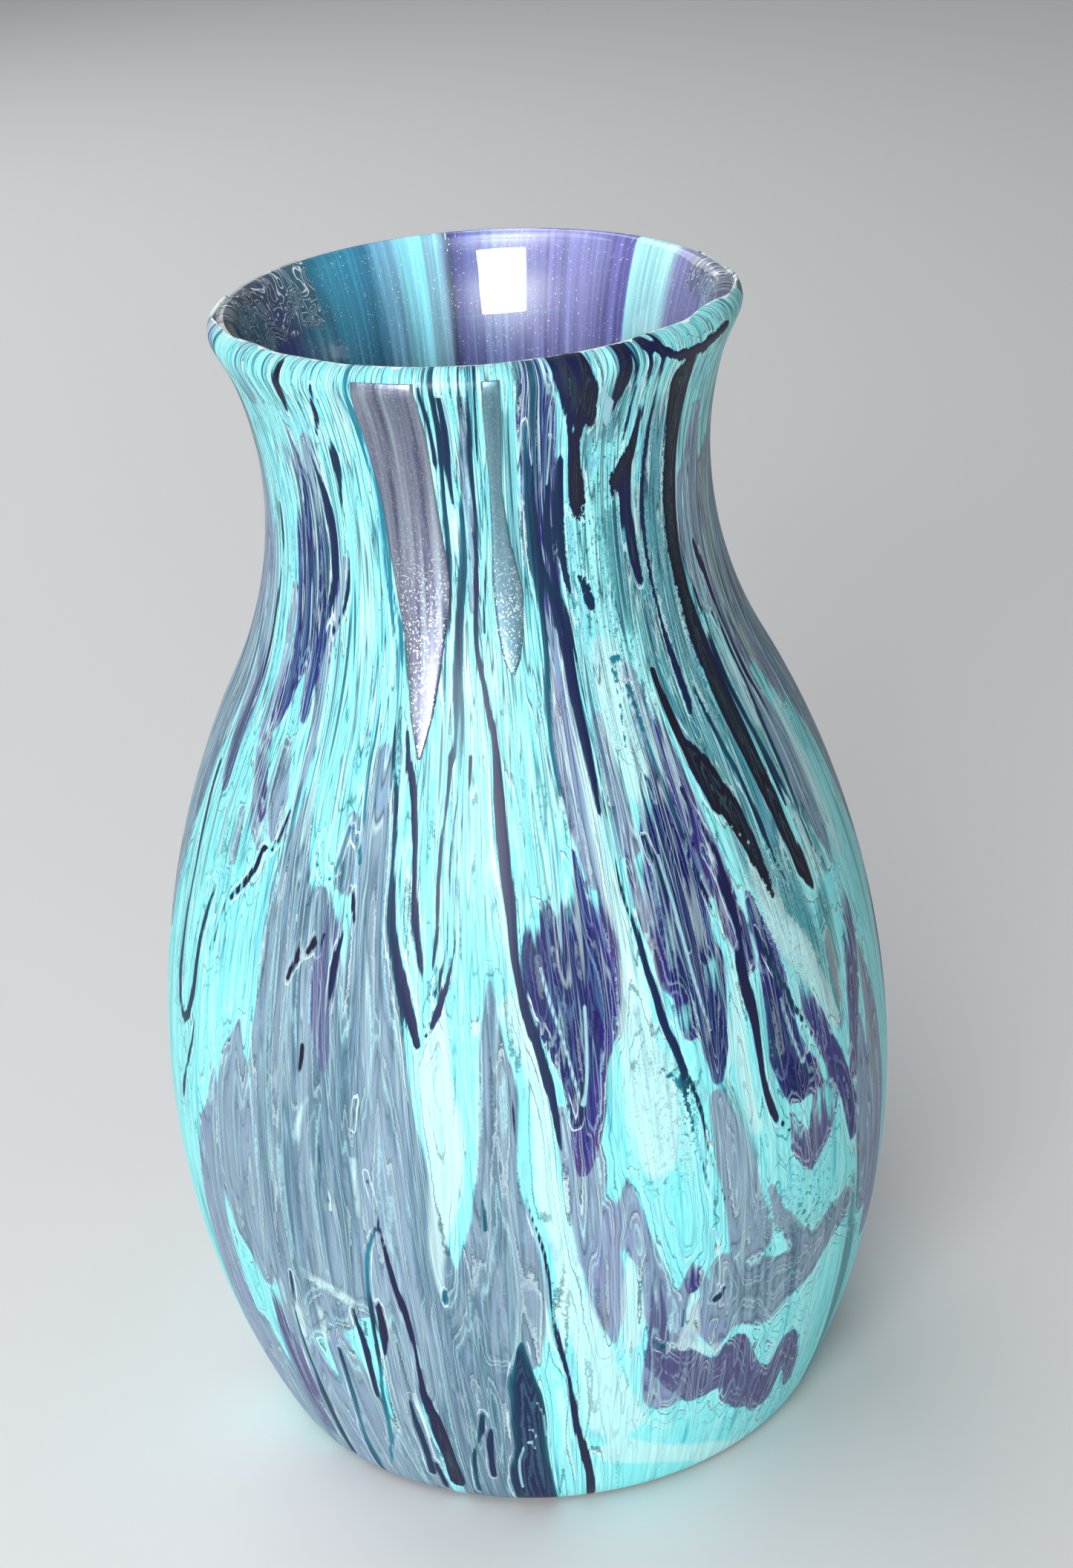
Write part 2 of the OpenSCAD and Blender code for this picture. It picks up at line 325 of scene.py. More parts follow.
# Each run of paint is a tint from 0 to 1 and its way down the vase: (bearing, height, half width).
# The bearing is in degrees from the front, positive to the right, and the rest is in mm.
SLATE = [  # tint: 0 slate, 0.5 lilac, 1 olive grey
    (0.6, [(13, 76, .1), (14, 64, .6), (15, 56, 2), (16.5, 50, 2.2), (18, 58, 1.6), (19.5, 50, 2.2),
           (21, 44, 2), (23, 53, 1.6), (25, 46, 2), (27, 41, 1)]),
    (0.4, [(29, 178, 1.5), (30, 162, 2.6), (31, 150, 3), (33, 138, 2)]),
    (0.6, [(-57, 100, .6), (-60, 84, 4), (-62, 62, 6), (-62, 36, 7), (-60, 10, 6)]),
    (0.2, [(-55, 40, 2), (-54, 24, 4), (-52, 6, 5)]),
    (0.7, [(67, 110, 1), (68, 92, 4), (69, 70, 5), (69, 45, 5)]),
    (0.1, [(-41, 162, .3), (-42, 148, 3), (-42, 130, 6), (-41, 110, 8), (-40, 85, 11), (-40, 62, 11),
           (-41, 50, 6)]),
    (0.05, [(-36, 140, 2.5), (-34, 125, 7), (-33, 105, 9), (-33, 80, 11), (-33, 62, 10), (-34, 52, 4)]),
    (0.2, [(-25.5, 168, 1.5), (-25, 150, 3.5), (-25, 130, 5.5), (-24, 110, 7), (-23, 85, 8), (-22, 60, 8),
           (-21, 40, 6)]),
    (0.25, [(-50.5, 113, .4), (-51, 104, 4), (-52, 92, 7), (-52, 78, 9), (-51, 66, 6), (-49, 56, 2)]),
    (0.0, [(-17, 70, 4), (-15, 50, 9), (-13, 35, 9), (-12, 15, 8), (-12, 3, 8)]),
    (0.15, [(-5.3, 129, .3), (-5.5, 120, 1.6), (-5.5, 108, 3.2), (-6, 95, 4.5), (-6, 80, 6), (-7, 62, 9),
            (-8, 50, 8)]),
    (0.05, [(-20, 95, 3), (-19, 80, 6), (-18, 62, 8)]),
    (0.4, [(-45, 60, 2), (-44, 45, 4), (-43, 25, 6), (-42, 5, 6)]),
    (0.3, [(-36, 45, 3), (-34, 30, 5), (-33, 12, 5), (-33, 2, 5)]),
    (0.2, [(-26, 75, 1), (-25.5, 55, 2.2), (-25.5, 35, 3.5), (-26, 12, 4), (-26, 2, 4)]),
    (0.55, [(12, 198, 2.2), (12.5, 185, 2.2), (12.5, 170, 2.6), (12.5, 155, 3), (13, 145, 2)]),
    (0.55, [(19, 172, 1.2), (20, 160, 2), (21, 148, 2.2)]),
    (0.5, [(-69, 203, 1), (-70, 192, 2.5), (-72, 180, 4), (-71, 168, 3), (-68, 155, 2)]),
    (0.35, [(-45, 226, 2), (-46, 214, 3), (-46.5, 205, 2)]),
    (0.3, [(-40.5, 200, 1.2), (-42, 190, 1.5), (-44, 178, 1.5), (-44.5, 165, 1.2), (-45, 150, .8)]),
    (0.5, [(-57.5, 192, 1), (-60, 178, 1.2), (-59, 166, 2), (-56, 157, 2.2), (-53.5, 150, 2.4),
           (-51, 146, 1)]),
    (0.2, [(-51, 165, 1.5), (-50, 157, 3), (-48, 150, 2.2)]),
    (0.3, [(-59, 150, 1.2), (-59, 142, 1.5)]),
    (0.3, [(-4.6, 236, 1), (-4.8, 220, 1.1), (-5, 205, 1), (-5, 192, .8)]),
    (0.15, [(55, 210, 1.5), (55, 200, 2.6), (56.5, 190, 2.4), (58.5, 182, 1.6)]),
    (0.8, [(61, 222, 2), (61, 208, 4), (62, 198, 3.5), (64, 185, 3), (66, 172, 3)]),
    (1.0, [(72, 208, 5), (73, 190, 5), (73, 175, 4), (74, 160, 2)]),
    (0.2, [(63, 172, 1.5), (63.5, 160, 3.5), (64.5, 148, 4.5), (65, 138, 3), (65, 128, 1)]),
    (0.15, [(27, 62, 3), (31, 52, 7), (37, 49, 8), (44, 51, 6), (50, 56, 4), (56, 58, 3)]),
    (0.3, [(28, 97, 2), (30, 87, 4), (31, 76, 4), (33, 64, 5)]),
    (0.6, [(9, 80, 2), (8.5, 68, 4), (8.8, 58, 3), (9.3, 50, .8)]),
    (0.6, [(12.5, 85, .5), (12.5, 77, 3.6), (15, 70, 2.4), (16.5, 62, 2.4), (16.5, 54, 2.4), (17, 47, 2)]),
    (0.55, [(21.8, 66, .4), (20, 58, 1.8), (19.2, 52, 1.5)]),
    (0.5, [(22.6, 64, 1), (24.4, 56, 1.5), (25.4, 48, 1.8), (28, 46, 3)]),
    (0.2, [(7.5, 100, 1.5), (7.7, 90, 2.4), (7, 80, 1.8), (6.3, 75, .5)]),
    (0.6, [(16, 46, 1.5), (17, 38, 3), (19, 33, 5)]),
    (0.4, [(3.6, 105, 1.2), (4.4, 92, 1.4), (4.8, 80, 1.2), (5.5, 70, 1)]),
    (0.1, [(-30, 156, 1.2), (-30.3, 150, 2), (-31, 144, 3)]),
    (0.2, [(36, 76, 1), (38, 68, 1.8), (41, 62, 2.4), (44, 56, 3)]),
    (0.9, [(57.6, 118, 1.2), (57.6, 110, 1.4), (57.3, 103, 1)]),
    (0.45, [(62, 96, 2), (61.5, 84, 4), (62, 70, 5), (64, 55, 4)]),
    (0.3, [(14.6, 150, .8), (14.4, 138, 1.4), (14, 128, 1.6), (13.4, 118, 1.2)]),
]
DUSK = [  # tint: 0 plum, 1 deep violet
    (0.25, [(33, 168, .8), (34, 152, 1.6), (35.4, 140, 2.2), (36.6, 130, 2.4), (37.4, 122, 1)]),
    (0.5, [(41, 134, .8), (41.5, 124, 2), (42.5, 114, 2), (43.5, 106, 1)]),
    (0.55, [(-50.5, 216, 2), (-49.5, 206, 4), (-49, 196, 5), (-50.5, 188, 4.2), (-53, 181, 3),
            (-55.5, 174, 2), (-57, 167, .6)]),
    (0.55, [(-45.5, 210, 1.8), (-45.5, 200, 2.4), (-46, 190, 1.9), (-47, 181, 1.5), (-47.8, 174, 1.1),
            (-48, 170.5, .4)]),
    (0.0, [(-53, 228, 2), (-52.5, 220, 2.6), (-52, 215.5, 1.5)]),
    (0.95, [(3.2, 141, 1.5), (4, 131, 4), (5, 122, 4.6), (6, 112, 2.6), (6, 106, .8)]),
    (0.6, [(9, 150, 1), (9, 140, 2.6), (9, 130, 4.6), (9.5, 121, 4.4), (9.5, 114, 2)]),
    (0.25, [(12.8, 144, 1.4), (12, 133, 2.6), (11.5, 122, 2.2), (11.3, 116, 1)]),
    (0.3, [(9, 114, 2.5), (8, 104, 3), (7, 96, 2), (6.6, 90, .6)]),
    (0.45, [(10.8, 246, 1.8), (11.2, 230, 2.8), (11.8, 218, 3), (12.4, 204, 2.4), (13.4, 190, 1)]),
    (0.7, [(26, 160, .8), (26.5, 150, 2.4), (27, 142, 4), (27, 134, 5), (26, 127, 5)]),
    (0.95, [(29.6, 166, 1), (29.6, 150, 1.6), (29.5, 138, 2.2)]),
    (0.2, [(22, 148, 1.5), (22.5, 136, 2.6), (23.5, 126, 2.6)]),
    (0.95, [(29.5, 126, 3.5), (29, 116, 2.8), (28.8, 107, 2), (28.5, 101, .6)]),
    (0.5, [(24.8, 122, 1.5), (25, 114, 1.5)]),
    (0.7, [(39.7, 120, .6), (40.5, 110, 2), (42, 102, 3.6), (44, 96, 4), (46, 95, 2.4)]),
    (0.4, [(48, 114, .5), (48.6, 107, 2), (50.5, 100, 2.2), (53, 92, 2.2), (55.5, 86, 1.8), (57, 79, 2),
           (57.3, 73, .8)]),
    (0.1, [(41, 88, 1.5), (43, 82, 2.2), (44.5, 77, 1.6)]),
    (0.05, [(48, 92, 1), (49, 86, 4), (48, 79, 3), (46, 75, 1.5)]),
    (0.1, [(66.3, 122, .6), (65, 115, 2.2), (62.5, 105, 2.2), (60.5, 96, 1.6), (58.5, 88, 1.5)]),
    (0.05, [(15, 66, .1), (17, 42, 2), (21, 38, 4), (25, 32, 4.4), (28, 33, 4.2), (30.4, 38, 3.4),
            (32, 31, 4.4), (34, 26, 5), (37.5, 22, 5.2), (39.8, 17, 3), (42, 27, 2), (44, 31, 2.6),
            (46, 25, 2), (48, 17, 1)]),
    (0.35, [(-61, 237, 2), (-63, 231, 2)]),
    (0.2, [(-69, 183, .8), (-69.3, 172, 1.6), (-69, 160, 1.4), (-67.5, 153, .5)]),
    (0.25, [(-57, 164, 1), (-55, 158, 1), (-52.5, 151.5, .7)]),
    (0.1, [(-33, 142, 1.5), (-33.2, 132, 2), (-33.2, 122, 1.6), (-33, 112, 1), (-33, 109, .4)]),
    (0.3, [(22, 66, .6), (21.8, 60, 1.4)]),
    (0.1, [(-48, 52, .5), (-48, 38, 2), (-49, 24, 2.4), (-50, 12, 2)]),
]
INK = [  # tint: 0 deep teal and navy, 1 charcoal
    (0.2, [(-36, 42, .5), (-37, 26, .8), (-38.4, 10, 1), (-39, 2, .8)]),
    (0.3, [(-43, 60, .4), (-44, 40, .7), (-45, 20, 1), (-46, 6, 1)]),
    (0.6, [(-31, 56, .4), (-30.5, 44, .9), (-31, 32, .5)]),
    (0.1, [(28, 176, .4), (30, 160, .7), (31.4, 148, .5)]),
    (0.2, [(45, 172, .5), (46, 158, .8), (48, 144, .7), (50, 132, .4)]),
    (0.1, [(56, 176, .4), (57, 160, .7), (58.6, 146, .8), (60, 134, .4)]),
    (0.4, [(24, 150, .4), (25.4, 140, .7), (27, 130, .5)]),
    (0.3, [(40, 128, .4), (42, 118, .8), (45, 108, .8), (48, 101, .4)]),
    (0.3, [(-24, 36, .4), (-24.6, 24, .9), (-25.6, 10, .9)]),
    (0.5, [(10, 222, .4), (11, 206, .8), (13.2, 194, 1.3), (15, 182, 1.3), (16, 168, .9), (16.4, 155, .4)]),
    (0.3, [(-1.5, 244, .4), (-1.6, 225, .5), (-1.8, 205, .4), (-2, 188, .4)]),
    (0.2, [(-10.5, 244, .4), (-10.2, 228, .5), (-10.4, 215, .4), (-11, 204, .5), (-12, 190, .4),
           (-12.6, 178, .4)]),
    (0.5, [(-3.1, 244, .7), (-3, 228, .6), (-3.9, 212, .5), (-4.3, 198, .6), (-4.4, 185, .6), (-4, 176, .8),
           (-3.3, 170, .9), (-2.6, 160, 1.3), (-1.9, 150, 1.2), (-1.1, 140, 1.1), (-.3, 128, .9),
           (.6, 118, 1.1), (1.7, 110, 1.3), (2.9, 102, 1), (3.8, 94, .5)]),
    (0.2, [(-5, 244, .3), (-5.6, 222, .4), (-7, 208, .4), (-8.2, 196, .5), (-9.6, 185, .4), (-10.6, 175, .5),
           (-11.6, 166, .5)]),
    (0.2, [(-6.6, 214, .3), (-7.5, 200, .8), (-8.4, 190, .5), (-9.3, 180, .4), (-10, 170, .4),
           (-10.5, 160, .5), (-11.6, 145, .4), (-12.6, 135, .4), (-14.4, 126, .3)]),
    (0.6, [(-8.4, 168, .4), (-8.8, 160, .5), (-10, 150, .4), (-11, 138, .4), (-12.2, 130, .6), (-14, 122, .9),
           (-15.8, 117.5, .5)]),
    (0.4, [(-12, 168, .4), (-12.7, 158, .7), (-13.2, 148, .7), (-13.6, 140, .5), (-15, 131, .4)]),
    (0.7, [(-23.8, 172, .4), (-22.4, 160, .5), (-21.5, 148, .5), (-20.8, 138, .9), (-19.6, 130, 1.1),
           (-18.2, 123, 1), (-17, 117, .7), (-16.3, 115.8, .4)]),
    (0.6, [(-21, 172, .3), (-19.8, 163, 1), (-18.6, 155, .9), (-17.6, 147, .7), (-16.8, 138, .8),
           (-16.2, 131, .5), (-15.9, 126, .3)]),
    (0.0, [(-29, 244, .3), (-28.2, 222, .3), (-27.2, 208, .4), (-26, 196, .4), (-25, 184, .4), (-24, 172, .4),
           (-23, 162, .3), (-22.2, 150, .4), (-21.6, 138, .3), (-20, 126, .3), (-19, 116, .3),
           (-18.5, 106, .3), (-17.6, 94, .3)]),
    (0.0, [(-27.8, 244, .25), (-27, 215, .3), (-25.2, 200, .35), (-23.6, 188, .4), (-22.6, 178, .4)]),
    (0.0, [(-28.4, 182, .4), (-28, 170, .35), (-27.8, 158, .3), (-27.4, 148, .3)]),
    (0.5, [(-8.9, 236, .3), (-8.5, 225, .6), (-8.4, 215, .3)]),
    (0.5, [(-12.6, 238, .4), (-12, 228, .5), (-11.6, 222, .2)]),
    (0.1, [(8.3, 230, .25), (8.6, 222, .4), (8.8, 214, .6), (9.4, 205, .6), (9.8, 196, .5), (9.8, 185, .35),
           (9.8, 172, .4), (9.6, 160, .4)]),
    (0.5, [(13.8, 226, .5), (14, 214, .9), (13.9, 204, .9), (14.6, 197, .6), (16, 190, .5), (17, 182, .5),
           (17.5, 170, .5), (17.6, 158, .4), (17.8, 148, .4), (18.2, 138, .6), (18.8, 128, 1),
           (20.2, 120, 1), (22, 112, .8), (23.4, 104, .7), (25, 96, .6), (26, 88, .5), (27.4, 81, .6),
           (28.6, 75, .3)]),
    (0.4, [(16.5, 222, 1), (16.8, 212, 1.3), (17, 202, 1), (18.2, 194, .6), (18.9, 188, .2)]),
    (0.8, [(20.5, 244, 1), (22.5, 234, 2.2), (24, 229, 1.6)]),
    (0.9, [(20.3, 226, .8), (21.2, 218, 1.6), (21.5, 212, 1.6), (22, 208.5, .6)]),
    (0.5, [(15, 244, .4), (17, 232, .6), (19, 226, .5), (20, 220, .3)]),
    (0.4, [(21, 198, .4), (22, 194, 1.1), (23, 191.5, 1.4), (24.5, 190, .3)]),
    (0.0, [(25.5, 181, .4), (28, 180.5, .5)]),
    (0.0, [(26, 180, .3), (24.8, 173, .2), (23.5, 166, .2)]),
    (0.85, [(38.5, 226, .5), (37.5, 221, 1.2), (35, 217, 1.8), (32.5, 214, 2), (31.5, 211, 1)]),
    (0.6, [(35.3, 214, 1.4), (35.2, 206, 1.5), (36.2, 198, 1.4), (37.3, 193.5, .8)]),
    (0.5, [(31, 244, .5), (34.8, 232, .7), (35, 226, .6), (34, 222, .4)]),
    (0.5, [(35.5, 244, .4), (38, 232, .5), (38.4, 226, .5)]),
    (0.5, [(39, 244, .4), (41.4, 231, .5), (41.6, 225, .6), (40.8, 214, .7), (40.4, 205, .8), (40.4, 195, .5),
           (41, 184, .5), (42, 176, .9), (42.4, 170, 1), (41.6, 167, .4)]),
    (1.0, [(50, 231, 3.6), (50.5, 222, 2.8), (51, 214, 2.2), (50.3, 206, 2.2), (50, 198, 2), (50.8, 190, 1.9),
           (51.8, 182, 2.2), (52.6, 172, 2.6), (52.4, 162, 3), (52.6, 152, 2.6), (53.2, 143, 2.2),
           (54.6, 134, 2), (56.2, 127.5, 1)]),
    (0.7, [(36, 241, 1.2), (44, 237, 1.2), (50, 236, 1.8), (57, 236, 1.5), (66, 236.5, 1)]),
    (0.6, [(16.5, 243, 2), (18, 236, 2.6), (20.5, 231, 2), (22, 226, .8)]),
    (0.75, [(29.5, 243, 1), (30.5, 236, 1.8), (30, 231, 1), (28.5, 227, .5)]),
    (0.4, [(53.4, 196, .3), (54.6, 188, .4), (56.6, 181, .5), (56.8, 172, .5), (56.6, 160, .6),
           (56.3, 150, .7), (56.2, 145, .3)]),
    (0.7, [(59, 196, .8), (61, 190, 1), (63, 184, .6), (64, 176, .5), (64.2, 165, .5), (64.6, 155, .4)]),
    (0.3, [(60, 180.5, .5), (61.8, 176, .5), (62.2, 168, .5), (61.2, 160, .8), (60.6, 152, 1),
           (59.8, 144, .5)]),
    (0.95, [(34.8, 178, .8), (36, 170, 1), (37.4, 163, 1.2), (39.2, 158, 2.2), (40.8, 152, 2.6),
            (43, 148, 2.2), (44.8, 142, 1.8), (46, 136, 1.3), (46.5, 131.5, .4)]),
    (0.6, [(31, 160, .4), (30.9, 150, .4), (31.4, 140, .4), (33, 133, .4)]),
    (0.6, [(33.6, 157, .3), (35.2, 150, .5), (36.6, 142, .5), (37.4, 132, .5), (38, 122, .5)]),
    (0.6, [(32.4, 146, .3), (33.8, 145.4, .3), (35.4, 139, .4), (36.6, 130, .4), (36.2, 122, .3)]),
    (0.7, [(35.4, 125, 1), (35.8, 116, 1.6), (36.6, 108, 1.2), (37, 98, .8), (38.4, 91, .9), (41, 86, .7)]),
    (0.0, [(22, 105, .3), (23, 98, .3), (24, 90, .3), (25.4, 83, .35), (26.8, 76, .2)]),
    (0.0, [(18, 112, .3), (19, 110, .4), (20.5, 107, .4), (22.2, 104, .4)]),
    (0.7, [(-4.3, 112, .35), (-3.9, 106, .5), (-3, 99, .45), (-2.2, 94, .35), (-1.7, 88, .3),
            (-1.3, 82, .4), (-.6, 75, .6), (.1, 68, .7), (.5, 60, .6), (1.2, 50, .6), (2, 42, .6),
            (2.7, 34, .7), (3.6, 26, .8), (4.2, 18, 1), (4.9, 10, 1.1), (5.5, 3, 1.2)]),
    (0.2, [(-8.8, 88.5, .3), (-8.3, 85, .5), (-8.5, 78, .5)]),
    (0.1, [(-15.2, 61, .5), (-14.8, 64, .3)]),
    (0.0, [(-25, 78, .5), (-27, 72, .5), (-27.9, 62, .5), (-28.4, 50, .5), (-28.8, 40, .6), (-29.6, 30, .7),
           (-31.4, 20, .8), (-33.6, 13, .6), (-35.2, 8, .4)]),
    (0.9, [(-26.6, 58, .7), (-26.9, 50, 1), (-27.4, 44, .5)]),
    (0.7, [(-26, 90, .3), (-24.8, 82, .4), (-23.8, 74, .5), (-23, 66, .8), (-22.4, 56, 1), (-22, 46, .9),
           (-21.6, 38, 1.1), (-20.8, 30, 1.6), (-20.5, 20, 1.9), (-20.2, 8, 2.2)]),
    (0.25, [(-4, 54, .5), (-4.6, 47, 1.8), (-5.2, 40, 3.2), (-5, 30, 4.2), (-4.6, 20, 3.6),
            (-5.4, 8, 4.2), (-5, 1, 4.2)]),
    (0.2, [(-12.8, 33, .6), (-14, 25, .5), (-15.4, 15, .5), (-16, 5, .6)]),
    (0.5, [(-12, 27, .8), (-12, 10, .4)]),
    (0.4, [(-24, 13, .3), (-23.4, 5, .8)]),
    (0.8, [(-45.4, 156, .3), (-46.4, 149, .5), (-47.6, 146, .6), (-49.5, 146.5, .5), (-50.8, 142, .8),
           (-53, 139, .7), (-56, 136, .9), (-58.3, 132.5, .6), (-59, 128, .35), (-59.6, 124, .6),
           (-61.4, 120.5, .4)]),
    (0.3, [(-64.8, 108, .4), (-66, 100, .7), (-67.6, 94, .9), (-69.2, 88, 1.1), (-70, 85, .5)]),
    (0.3, [(-73, 156, .8), (-72.4, 145, 1), (-72, 132, 1), (-72.4, 120, 1), (-73, 112, 1.2),
           (-71.8, 106, 1.3), (-69.8, 103.5, 1.3), (-68, 106, 1.2), (-66.4, 111, 1.2), (-65, 118, 1),
           (-63.6, 126, .7), (-62, 134, .4)]),
    (0.3, [(-64.5, 209, .3), (-63.8, 203, .8), (-64.2, 196, .5), (-66, 190, .8), (-67.4, 184, .6),
           (-68.6, 176, .5), (-69, 166, .5)]),
    (0.4, [(-44.6, 236, .3), (-45, 228, .5), (-44.2, 219, .7), (-43, 212, 1), (-42.7, 204, 1),
           (-43.4, 196, .8), (-44.6, 188, .4)]),
    (0.4, [(-35.8, 236, .3), (-36.2, 227, .4), (-36, 222, 1.2), (-36.4, 217, .8), (-38, 212, .4),
           (-38.4, 203, .3), (-39, 195, .4), (-40.4, 190, .4), (-42, 186.5, .3)]),
    (0.9, [(-45.6, 240, 1), (-47, 234.5, 1), (-48.4, 232, .4)]),
    (0.6, [(-36.8, 238, .5), (-38.4, 231, .8), (-40.2, 226.5, .3)]),
    (0.9, [(-39.6, 136.5, .5), (-39, 134, .4)]),
    (0.9, [(-39, 132, .6), (-38.6, 129, .8), (-39.6, 126.5, .6), (-40.2, 124, .3)]),
    (0.9, [(-37, 131, .4), (-35.8, 133.5, .9), (-34.6, 134.5, .8), (-35, 130.5, .4)]),
    (0.9, [(-36.4, 113, .5), (-36.8, 110, .6), (-37.6, 107, .3)]),
    (0.8, [(-29.4, 142, .3), (-29.2, 139.5, .5), (-28.4, 137, .3)]),
    (0.6, [(-30.6, 136, .5), (-31.6, 130, .9), (-32, 125, .6), (-32.2, 120, .3)]),
    (0.1, [(-38, 150, .3), (-37.6, 146, .4), (-36, 143, .5), (-34.6, 143.5, .6), (-33, 146, .5),
           (-31.6, 151, .4), (-30.6, 154, .5), (-29.4, 152.5, .5), (-28.6, 149, .4), (-28.2, 146.5, .5)]),
    (0.3, [(-33.6, 98, .3), (-33.8, 90, .7), (-33.4, 80, .3)]),
    (0.7, [(-27.2, 104, .5), (-27.4, 98, .3)]),
    (0.1, [(38, 61.5, .6), (38.9, 61.5, .6)]),
    (0.4, [(25.3, 53, .6), (26.6, 53.5, 1.2), (28, 55, .7)]),
    (0.1, [(25.8, 72, .3), (26.2, 62, .5), (26.4, 58, .3)]),
    (0.2, [(15.4, 48, .5), (17, 45.5, .9), (19, 43.5, .5)]),
    (0.1, [(20.2, 54, .5), (20.4, 48.5, .5)]),
    (0.0, [(52, 11, .6), (53, 9.5, .5)]),
    (0.0, [(40, 6, .5), (40.6, 4.5, .4)]),
    (0.0, [(33, 39, .25), (36, 36, .3), (39.6, 33.5, .2)]),
    (0.4, [(2.4, 119, .3), (3.6, 113, .35), (4.6, 106, .4), (5.8, 100.8, .5), (6.8, 104, .4),
           (7.4, 111, .3)]),
]
ICE = [
    # The first run, down the front-left shoulder and belly, is partly white paint and partly a painted
    # highlight where the varnish reflects the light.
    (0, [(-13.5, 124, 1), (-14, 112, 3.4), (-14, 100, 4.2), (-14.5, 88, 3.4), (-15, 78, 1.8), (-15.2, 70, 1),
         (-15.3, 62.5, .4)]),
    (0, [(-2, 122, 3), (0, 112, 2), (1, 100, 2), (1.4, 88, 2.4), (2.6, 75, 2.4), (4.2, 60, 2.8), (6, 48, 3.6),
         (8, 38, 4.6), (10, 28, 5.6)]),
    (0, [(10, 18, 4), (20, 12, 3), (30, 7, 3), (40, 3, 2)]),
    (0, [(12.4, 70, .4), (12.3, 64, 1.6), (12.3, 56, 2.4), (12.5, 49, 2)]),
    (0, [(22, 57, .8), (22, 50, 1.8), (21.4, 44, 2.2), (24, 41, 1.6), (28, 40, 1), (32, 38, 1.2)]),
    (0, [(1.2, 121, .35), (3, 118, .35), (4.6, 108, .35), (5.8, 102.5, .4), (6.9, 107, .35), (7.6, 114, .4),
         (8.8, 116.6, .45), (9.8, 114, .35), (10.8, 113.4, .35), (11.8, 118, .4), (12.6, 124, .4),
         (13.6, 132, .4), (14.2, 140, .4)]),
    (0, [(15.4, 168, 1), (15.6, 150, 1.6), (15.8, 135, 2.2), (16.2, 120, 3), (17.5, 108, 4), (18, 98, 4.6),
         (18, 88, 4)]),
    (0, [(33.4, 144, .5), (32.8, 141, .5), (34, 137, .4), (34.6, 132, .5), (34, 124, .6), (33.4, 112, 1.2),
         (33.6, 100, 1.6), (34.6, 90, 1.6)]),
    (0, [(31.4, 112, 1), (31.2, 104, .6)]),
    (0, [(-35.6, 103, .3), (-37, 100, .5), (-38, 95, .6), (-37.8, 91.5, .4)]),
    (0, [(-56.5, 222, .3), (-54.6, 217, .4), (-52.8, 214, .5), (-50.8, 215, .3)]),
    (0, [(-27.8, 92, .3), (-28.2, 80, .3)]),
    (0, [(-40, 62, 1.2), (-35, 60, 1.5), (-31, 57, 1.2)]),
    (0, [(-43, 50, 1.5), (-43, 44, 1)]),
    (0, [(-37.5, 52, .8), (-38, 44, .8)]),
    (0, [(.6, 38, .4), (1.4, 24, .6), (2.2, 10, .6)]),
    (0, [(8.4, 50, .3), (9.4, 47.6, .35), (11, 47.8, .3)]),
    (0, [(14.8, 28, .3), (17, 23.6, .4), (19.4, 22, .5), (23, 22.6, .4), (26, 22.4, .3)]),
    (0, [(58.4, 150, 1), (58.6, 138, 1.6), (59.5, 128, 1.6)]),
    (0, [(59.4, 176, .3), (59.8, 170, 1), (59.8, 160, 1.2)]),
    (0, [(44, 140, 1.5), (46, 125, 4), (50, 118, 4), (53, 106, 3), (55, 100, 1.5)]),
    (0, [(55.3, 180, .3), (55.6, 170, .3)]),
    (0, [(53.6, 220, .5), (53.2, 208, .7), (52, 198, .3)]),
    (0, [(58, 218, .4), (56.4, 212, .4), (56.4, 205, .4)]),
    (0, [(69, 160, 1.5), (69, 145, 2), (70, 130, 2)]),
    (0, [(24, 182, 3), (23, 170, 3), (25, 160, 3)]),
]
OVER = [  # thin pale loops that lie over the darkest runs
    (0, [(3.4, 130, .4), (4.6, 120, .5), (6, 111, .5), (7.2, 105, .5), (8.2, 112, .5), (9, 122, .4)]),
    (0, [(25.6, 146, .4), (26, 134, .5), (27.4, 122, .5), (28.4, 112, .4)]),
    (0, [(42, 112, .4), (43.4, 104, .5), (45, 98, .5), (47, 102, .4)]),
    (0, [(-7.4, 6, .4), (-7, 16, .4), (-6, 22, .4), (-4.8, 23.2, .5), (-3.8, 20, .3)]),
    (0, [(-5.6, 26, .3), (-4.6, 27, .4), (-3.6, 24, .3)]),
    (0, [(-3.6, 35, .4), (-2.4, 30, .4), (-2, 24, .3)]),
    (0, [(40, 149, .3), (42, 146, .3), (45, 142, .4)]),
    (0, [(26.2, 236, .5), (25.6, 231, .5), (27, 233.5, .4), (28.6, 231, 1.2), (29, 227, .8)]),
    (0, [(32, 211, .8), (32.6, 209, .5)]),
    (0, [(14.2, 232, .3), (14, 224, .25), (13.8, 216, .2)]),
    (0, [(23.8, 112, .3), (24.6, 106, .3), (25.8, 98, .25), (26.8, 91, .3)]),
    (0, [(-22, 50, .3), (-21.6, 44, .25)]),
]
